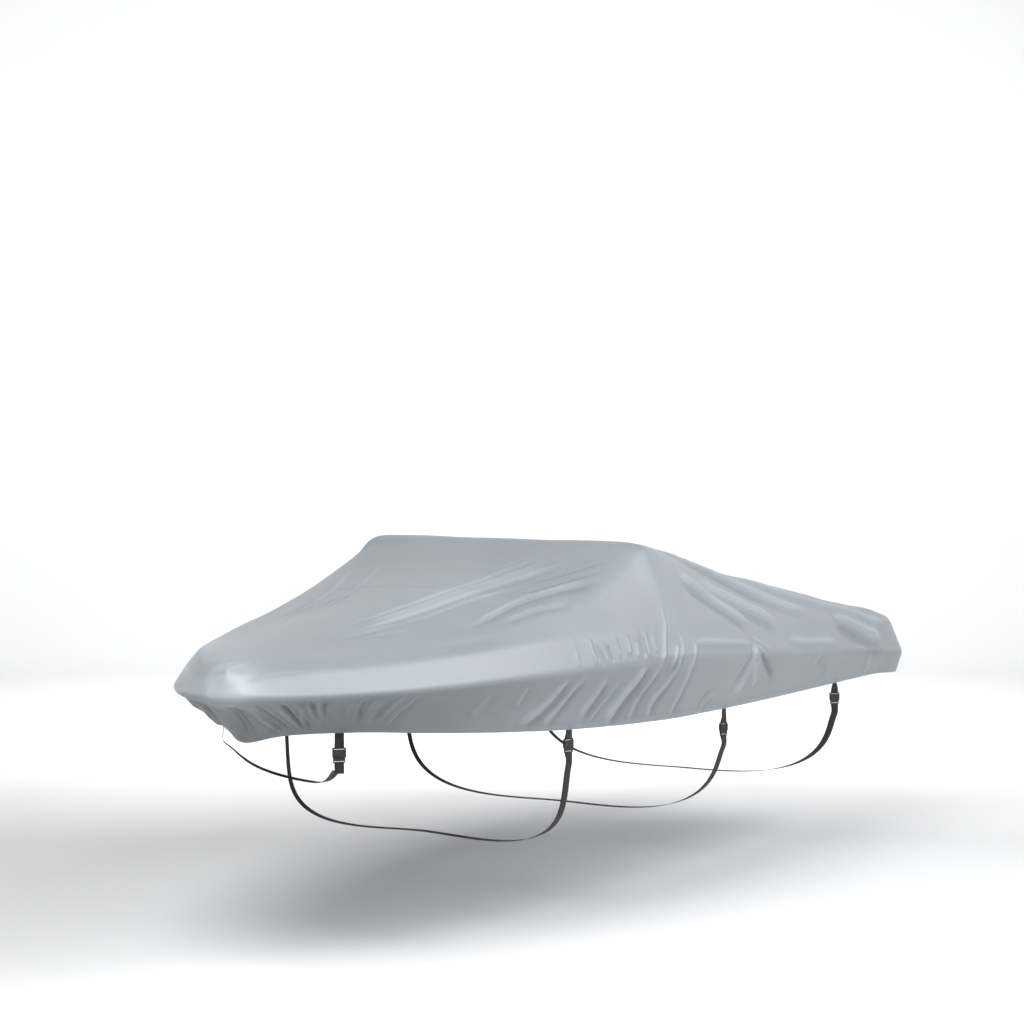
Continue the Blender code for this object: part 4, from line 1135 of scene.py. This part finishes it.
def box(low, high, rounding=0.0, segments=1):
    """Box between two corners, with its edges rounded."""
    low, high = Vector(low), Vector(high)
    size = Vector([abs(extent) for extent in high - low])
    solid = bmesh.new()
    middle = Matrix.Translation((low + high) / 2)
    bmesh.ops.create_cube(solid, size=1.0, matrix=middle @ Matrix.Diagonal((*size, 1.0)))
    if rounding:
        bmesh.ops.bevel(solid, geom=solid.edges[:], offset=rounding, segments=segments, profile=0.5,
                        affect="EDGES")
    return solid


def plate(outline, half_depth):
    """Flat piece with the given outline, as thick as twice the half depth."""
    solid = bmesh.new()
    face = solid.faces.new([solid.verts.new((u, v, -half_depth)) for u, v in outline])
    grown = bmesh.ops.extrude_face_region(solid, geom=[face])
    top = [item for item in grown["geom"] if isinstance(item, bmesh.types.BMVert)]
    bmesh.ops.translate(solid, verts=top, vec=(0.0, 0.0, 2 * half_depth))
    bmesh.ops.recalc_face_normals(solid, faces=solid.faces)
    return solid


def carved(name, body, added, removed, material):
    """A body with some solids joined to it and others cut away, its edges softened."""
    pieces = []
    for solid in [body] + added + removed:
        mesh = bpy.data.meshes.new(name)
        solid.to_mesh(mesh)
        solid.free()
        pieces.append(placed(name, mesh))
    main = pieces[0]
    for index, piece in enumerate(pieces[1:]):
        cut = main.modifiers.new("shape", "BOOLEAN")
        cut.object = piece
        cut.operation = "UNION" if index < len(added) else "DIFFERENCE"
    soft = main.modifiers.new("edges", "BEVEL")
    soft.width = EDGE_SOFTNESS
    soft.segments = 2
    soft.limit_method = "ANGLE"
    soft.angle_limit = math.radians(SOFTENED_EDGE)
    make_plain(main)
    for piece in pieces[1:]:
        bpy.data.objects.remove(piece)
    main.data.shade_smooth()
    main.data.set_sharp_from_angle(angle=math.radians(MOULDED_EDGE))
    main.data.materials.clear()
    main.data.materials.append(material)
    return main


def bar_cuts(bar, slot_end, half_depth):
    """Cuts around a webbing bar: its slot, and the thinner ears and bar on both faces."""
    away = 1 if slot_end > bar else -1
    wide, long = BUCKLE_HALF_WIDTH + PAST, BAR_LENGTH_HALF
    outer, near = bar - away * (BAR_HALF + PAST), bar + away * BAR_HALF
    cuts = [box((-long, near, -half_depth - PAST), (long, slot_end, half_depth + PAST),
                SLOT_ROUNDING, 2)]
    for sign in (1, -1):
        face = sign * (half_depth + PAST)
        cuts.append(box((-wide, outer, sign * EAR_HALF_DEPTH), (wide, slot_end - away * 0.001, face)))
        cuts.append(box((-long, outer, sign * BAR_HALF), (long, near + away * 0.001, face)))
    return cuts


def socket_piece(name, material):
    """Socket: webbing bar, body with a dished panel, grip ribs and a window for each prong."""
    wide, deep = BUCKLE_HALF_WIDTH, BUCKLE_HALF_DEPTH
    body = box((-wide, -BAR_HALF, -deep), (wide, MOUTH, deep), EDGE_ROUNDING, 4)
    cavity_wide, cavity_deep = CAVITY_HALF
    cuts = bar_cuts(0.0, SLOT_END, deep)
    cuts.append(box((-cavity_wide, CAVITY_START, -cavity_deep), (cavity_wide, MOUTH + PAST, cavity_deep)))
    dish_wide, dish_start, dish_end = DISH
    for sign in (1, -1):
        inner, outer = sign * (cavity_wide - 0.001), sign * (wide + PAST)
        cuts.append(box((inner, WINDOW[0], -WINDOW_HALF_DEPTH), (outer, WINDOW[1], WINDOW_HALF_DEPTH)))
        face = (deep - DISH_DEPTH) * sign, (deep + PAST) * sign
        cuts.append(box((-dish_wide, dish_start, face[0]), (dish_wide, dish_end, face[1]),
                        SLOT_ROUNDING, 2))
    for rib in range(3):
        place = 0.0345 + 0.0012 * rib - 0.0006
        cuts.append(box((-0.0200, place, deep - 0.0003), (0.0200, place + 0.0005, deep + PAST)))
    return carved(name, body, [], cuts, material)


def plug_piece(name, material):
    """Plug: webbing bar, ribbed neck, two sprung prongs whose heads fill the windows, and a tongue."""
    wide, deep = PLUG_HALF_WIDTH, PLUG_HALF_DEPTH
    start = MOUTH + GAP
    root = start + PAST
    base = box((-wide, start, -deep), (wide, PLUG_BAR + BAR_HALF, deep), EDGE_ROUNDING, 4)
    shoulder = WINDOW[1] - GAP
    arm = [(0.013, root), (0.020, root), (0.021, shoulder), (PRONG[0][0], shoulder)] + PRONG
    tongue_wide, tip = TONGUE
    tongue = [(-tongue_wide, root), (-tongue_wide, tip + 0.002), (-tongue_wide + 0.002, tip),
              (tongue_wide - 0.002, tip), (tongue_wide, tip + 0.002), (tongue_wide, root)]
    arms = [plate([(sign * u, v) for u, v in arm], ARM_HALF_DEPTH) for sign in (1, -1)]
    cuts = bar_cuts(PLUG_BAR, PLUG_BAR - SLOT_END, deep)
    for sign in (1, -1):
        for place in PLUG_RIBS:
            face = (deep - 0.0005) * sign, (deep + PAST) * sign
            cuts.append(box((-0.0190, place, face[0]), (0.0190, place + 0.0008, face[1])))
        cuts.append(box((0.0258 * sign, 0.0262, -0.0015), (0.0280 * sign, 0.0268, 0.0015)))
    return carved(name, base, arms + [plate(tongue, ARM_HALF_DEPTH)], cuts, material)


def build_buckles(settings):
    """A closed side-release buckle on each strap."""
    material = moulded_plastic(settings)
    pieces = {}
    for number, strap in enumerate(STRAPS, start=1):
        place = strap_route(strap, settings).place
        for word, make in (("socket", socket_piece), ("plug", plug_piece)):
            name = f"strap_{number}_{word}"
            piece = make(f"{name}_moulded", material)
            piece.data.transform(place)
            pieces[name] = piece
    return pieces


def stitch_line(side, girth, along, raised):
    """Points over the cloth's outer face, at one girth or else at one place along the rim."""
    if np.ndim(girth) == 0:
        points, _ = cloth_surface(along, np.linspace(girth - 0.02, girth + 0.02, 3), side)
        line, normals = points[:, 1], normals_of(points)[:, 1]
    else:
        points, _ = cloth_surface(along + np.array([-0.01, 0.0, 0.01]), girth, side)
        line, normals = points[1], normals_of(points)[1]
    return mirrored(line + normals * raised, side)


def build_stitches(settings):
    """The hem's row of stitches, the two rows of the lapped seam, and the boxes over the straps."""
    thread = sewing_thread("hem thread", tuple(settings.thread_colour))
    sizes = (settings.stitch_pitch, settings.stitch_length, settings.stitch_thickness)
    raised = settings.stitch_thickness * 0.15
    sides = (PORT, STARBOARD)
    pieces = {}
    for word, start, end in (("aft", 0.0, SEAM_PLACE - 0.001), ("fore", SEAM_PLACE + 0.001, RIM_LENGTH)):
        alongs = np.arange(start, end, HEM_STEP)
        lines = [stitch_line(side, HEM - HEM_BAND, alongs, raised) for side in sides]
        pieces[word] = stitched(f"hem_stitches_{word}", lines, *sizes, thread)
    girths = np.linspace(0.01, HEM - 0.012, SEAM_POINTS)
    lines = [stitch_line(side, girths, SEAM_PLACE - row, raised) for side in sides for row in SEAM_ROWS]
    pieces["seam"] = stitched("seam_stitches", lines, *sizes, thread)
    half = settings.webbing_width / 2 - BOX_MARGIN
    low, high = BOX_ROWS
    corners = [(-half, low), (half, low), (half, high), (-half, high), (-half, low),
               (half, high), (half, low), (-half, high)]
    lines = []
    for strap in STRAPS:
        hem = hem_frame(strap.forward)
        foot = hem.head + hem.out * (raised + hem.warp * 0.5)
        points = np.array([foot + hem.course * u + hem.up * v for u, v in corners])
        lines += [mirrored(points, side) for side in sides]
    dark = sewing_thread("strap thread", (0.03, 0.03, 0.032))
    pieces["boxes"] = stitched("strap_box_stitches", lines, *sizes, dark)
    return pieces


def studio_finish():
    """Matt pale floor and wall, a little uneven as a painted floor is."""
    finish = Finish("studio floor", {"Roughness": 0.75, "Specular IOR Level": 0.3})
    cloudy = finish.noise(finish.place(), 1.6, detail=3.0)
    finish.feed("Base Color", finish.mix(cloudy, (0.85, 0.853, 0.857), (0.88, 0.883, 0.887)))
    return finish.material


def studio_wall(settings):
    """Round floor that curves up into a wall on all sides."""
    radius = settings.studio_radius
    profile = [(r, 0.0) for r in np.linspace(0.0, radius, 12)]
    for angle in np.linspace(0.0, math.pi / 2, 14)[1:]:
        profile.append((radius + WALL_CURVE * math.sin(angle), WALL_CURVE * (1 - math.cos(angle))))
    profile.append((radius + WALL_CURVE, WALL_TOP))
    count = len(profile)
    verts, faces = [], []
    for k in range(WALL_SIDES):
        angle = 2 * math.pi * k / WALL_SIDES
        verts += [(r * math.cos(angle), r * math.sin(angle), settings.floor_height + height)
                  for r, height in profile]
        n = (k + 1) % WALL_SIDES
        for i in range(1, count - 1):
            faces.append([k * count + i, k * count + i + 1, n * count + i + 1, n * count + i])
        faces.append([k * count, k * count + 1, n * count + 1])
    return new_piece("studio_wall", verts, faces, studio_finish())


def lamp(name, azimuth, elevation, power, size=4.0, distance=LAMP_DISTANCE, aim=LIT_PLACE):
    """Square soft light; azimuth is from the bow towards port, and place and aim are about the cover."""
    light = bpy.data.lights.new(name, "AREA")
    light.size = size
    light.energy = power
    stand = placed(name, light)
    turn, rise = math.radians(azimuth), math.radians(elevation)
    level = math.cos(rise)
    stand.location = Vector(LIT_PLACE) + Vector(
        (math.cos(turn) * level, math.sin(turn) * level, math.sin(rise))) * distance
    stand.rotation_euler = (stand.location - Vector(aim)).to_track_quat("Z", "Y").to_euler()


def build_stage(settings):
    """Floor and wall, lights, world and camera."""
    wall = studio_wall(settings)
    lamp("bow light", 14, 40, settings.bow_power)
    lamp("side light", 100, 34, settings.side_power)
    lamp("back light", 270, 50, settings.back_power)
    lamp("wall light", 211.6, 50, settings.wall_power, aim=WALL_PLACE, **WALL_LAMP)
    lamp("far wall light", 31.6, 50, FAR_WALL_SHARE * settings.wall_power, aim=FAR_WALL_PLACE, **WALL_LAMP)
    world = bpy.data.worlds.new("studio air")
    bpy.context.scene.world = world
    world.use_nodes = True
    air = world.node_tree.nodes["Background"]
    air.inputs["Color"].default_value = (0.97, 0.985, 1.0, 1.0)
    air.inputs["Strength"].default_value = settings.air_strength
    lens = bpy.data.cameras.new("camera")
    lens.lens = settings.focal_length
    lens.sensor_width = 36.0
    lens.clip_end = 200.0
    camera = placed("camera", lens)
    camera.location = CAMERA_PLACE
    camera.rotation_euler = (math.pi / 2, 0.0, math.radians(CAMERA_TURN))
    bpy.context.scene.camera = camera
    bpy.context.scene.view_settings.view_transform = "Standard"
    return wall


def length_setting(name, description, default):
    return FloatProperty(name=name, description=description, default=default, unit="LENGTH",
                         subtype="DISTANCE", precision=4)


def colour_setting(name, description, default):
    return FloatVectorProperty(name=name, description=description, default=default, size=3, min=0.0,
                               max=1.0, subtype="COLOR")


def power_setting(name, description, default):
    return FloatProperty(name=name, description=description, default=default, min=0.0, unit="POWER")


class CoverSettings(PropertyGroup):
    cloth_thickness: length_setting("Cloth", "Thickness of the cloth", 0.0015)
    hem_thickness: length_setting("Hem", "Thickness of the turned hem", 0.004)
    webbing_width: length_setting("Webbing width", "Width of the straps' webbing", 0.038)
    webbing_thickness: length_setting("Webbing thickness", "Thickness of the straps' webbing", 0.0019)
    webbing_step: length_setting("Webbing step", "Greatest distance between the webbing's rings", 0.008)
    weave_pitch: length_setting("Weave pitch", "Distance between the cloth's threads", 0.0012)
    crumple_height: length_setting("Crumple", "Height of the cloth's finest unevenness", 0.0016)
    stitch_pitch: length_setting("Stitch pitch", "Distance from one stitch to the next", 0.0045)
    stitch_length: length_setting("Stitch length", "Length of a stitch", 0.0035)
    stitch_thickness: length_setting("Thread", "Thickness of the sewing thread", 0.0008)
    cloth_colour: colour_setting("Cloth colour", "Grey blue of the cloth", (0.245, 0.272, 0.296))
    webbing_colour: colour_setting("Webbing colour", "Black of the straps", (0.014, 0.014, 0.016))
    buckle_colour: colour_setting("Buckle colour", "Black of the buckles", (0.012, 0.012, 0.013))
    thread_colour: colour_setting("Thread colour", "Grey of the hem's thread", (0.245, 0.272, 0.296))
    studio_radius: length_setting("Studio radius", "Radius of the flat floor", 14.0)
    floor_height: length_setting("Floor", "Height of the studio floor", -1.741)
    bow_power: power_setting("Bow light", "Power of the light off the bow", 580.0)
    side_power: power_setting("Side light", "Power of the light to port", 500.0)
    back_power: power_setting("Back light", "Power of the light to starboard", 60.0)
    wall_power: power_setting("Wall light", "Power of the light on the wall", 1300.0)
    air_strength: FloatProperty(name="Air", description="Brightness of the studio's air", default=0.06)
    focal_length: FloatProperty(name="Lens", description="Focal length of the camera", default=66.8,
                                unit="CAMERA", subtype="DISTANCE_CAMERA")


def fit(piece, node):
    """Fix the piece to the cover and hide the part that it stands for."""
    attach(piece, "root")
    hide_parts(node)


class CoverOperator:
    bl_options = {"REGISTER", "UNDO"}


class COVER_OT_cloth(CoverOperator, Operator):
    """Build the two sewn cloth panels and their stitches"""
    bl_idname = "cover.cloth"
    bl_label = "Build cloth"

    def execute(self, context):
        settings = context.scene.cover
        aft, fore = build_cloth(settings)
        sewn = build_stitches(settings)
        for piece in (aft, fore, *sewn.values()):
            fit(piece, "cover_cloth")
        return {"FINISHED"}


class COVER_OT_webbing(CoverOperator, Operator):
    """Build the tabs and long webbings of the straps"""
    bl_idname = "cover.webbing"
    bl_label = "Build webbing"

    def execute(self, context):
        for node, piece in build_webbing(context.scene.cover).items():
            fit(piece, node)
        return {"FINISHED"}


class COVER_OT_buckles(CoverOperator, Operator):
    """Build the side-release buckles"""
    bl_idname = "cover.buckles"
    bl_label = "Build buckles"

    def execute(self, context):
        for node, piece in build_buckles(context.scene.cover).items():
            fit(piece, node)
        return {"FINISHED"}


class COVER_OT_stage(CoverOperator, Operator):
    """Build the floor, lights and camera"""
    bl_idname = "cover.stage"
    bl_label = "Build stage"

    def execute(self, context):
        build_stage(context.scene.cover)
        return {"FINISHED"}


OPERATORS = [COVER_OT_cloth, COVER_OT_webbing, COVER_OT_buckles, COVER_OT_stage]


class COVER_PT_panel(Panel):
    """Sizes and colours of the cover, and its operators"""
    bl_idname = "COVER_PT_panel"
    bl_label = "Boat cover"
    bl_space_type = "VIEW_3D"
    bl_region_type = "UI"
    bl_category = "Boat cover"

    def draw(self, context):
        for word in CoverSettings.__annotations__:
            self.layout.prop(context.scene.cover, word)
        for operator in OPERATORS:
            self.layout.operator(operator.bl_idname)


def register():
    for kind in [CoverSettings, *OPERATORS, COVER_PT_panel]:
        bpy.utils.register_class(kind)
    bpy.types.Scene.cover = PointerProperty(type=CoverSettings)


def unregister():
    del bpy.types.Scene.cover
    for kind in [COVER_PT_panel, *OPERATORS, CoverSettings]:
        bpy.utils.unregister_class(kind)


def main():
    """Build every piece in turn."""
    register()
    bpy.ops.cover.cloth()
    bpy.ops.cover.webbing()
    bpy.ops.cover.buckles()
    bpy.ops.cover.stage()
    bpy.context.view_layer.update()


if __name__ == "__main__":
    main()
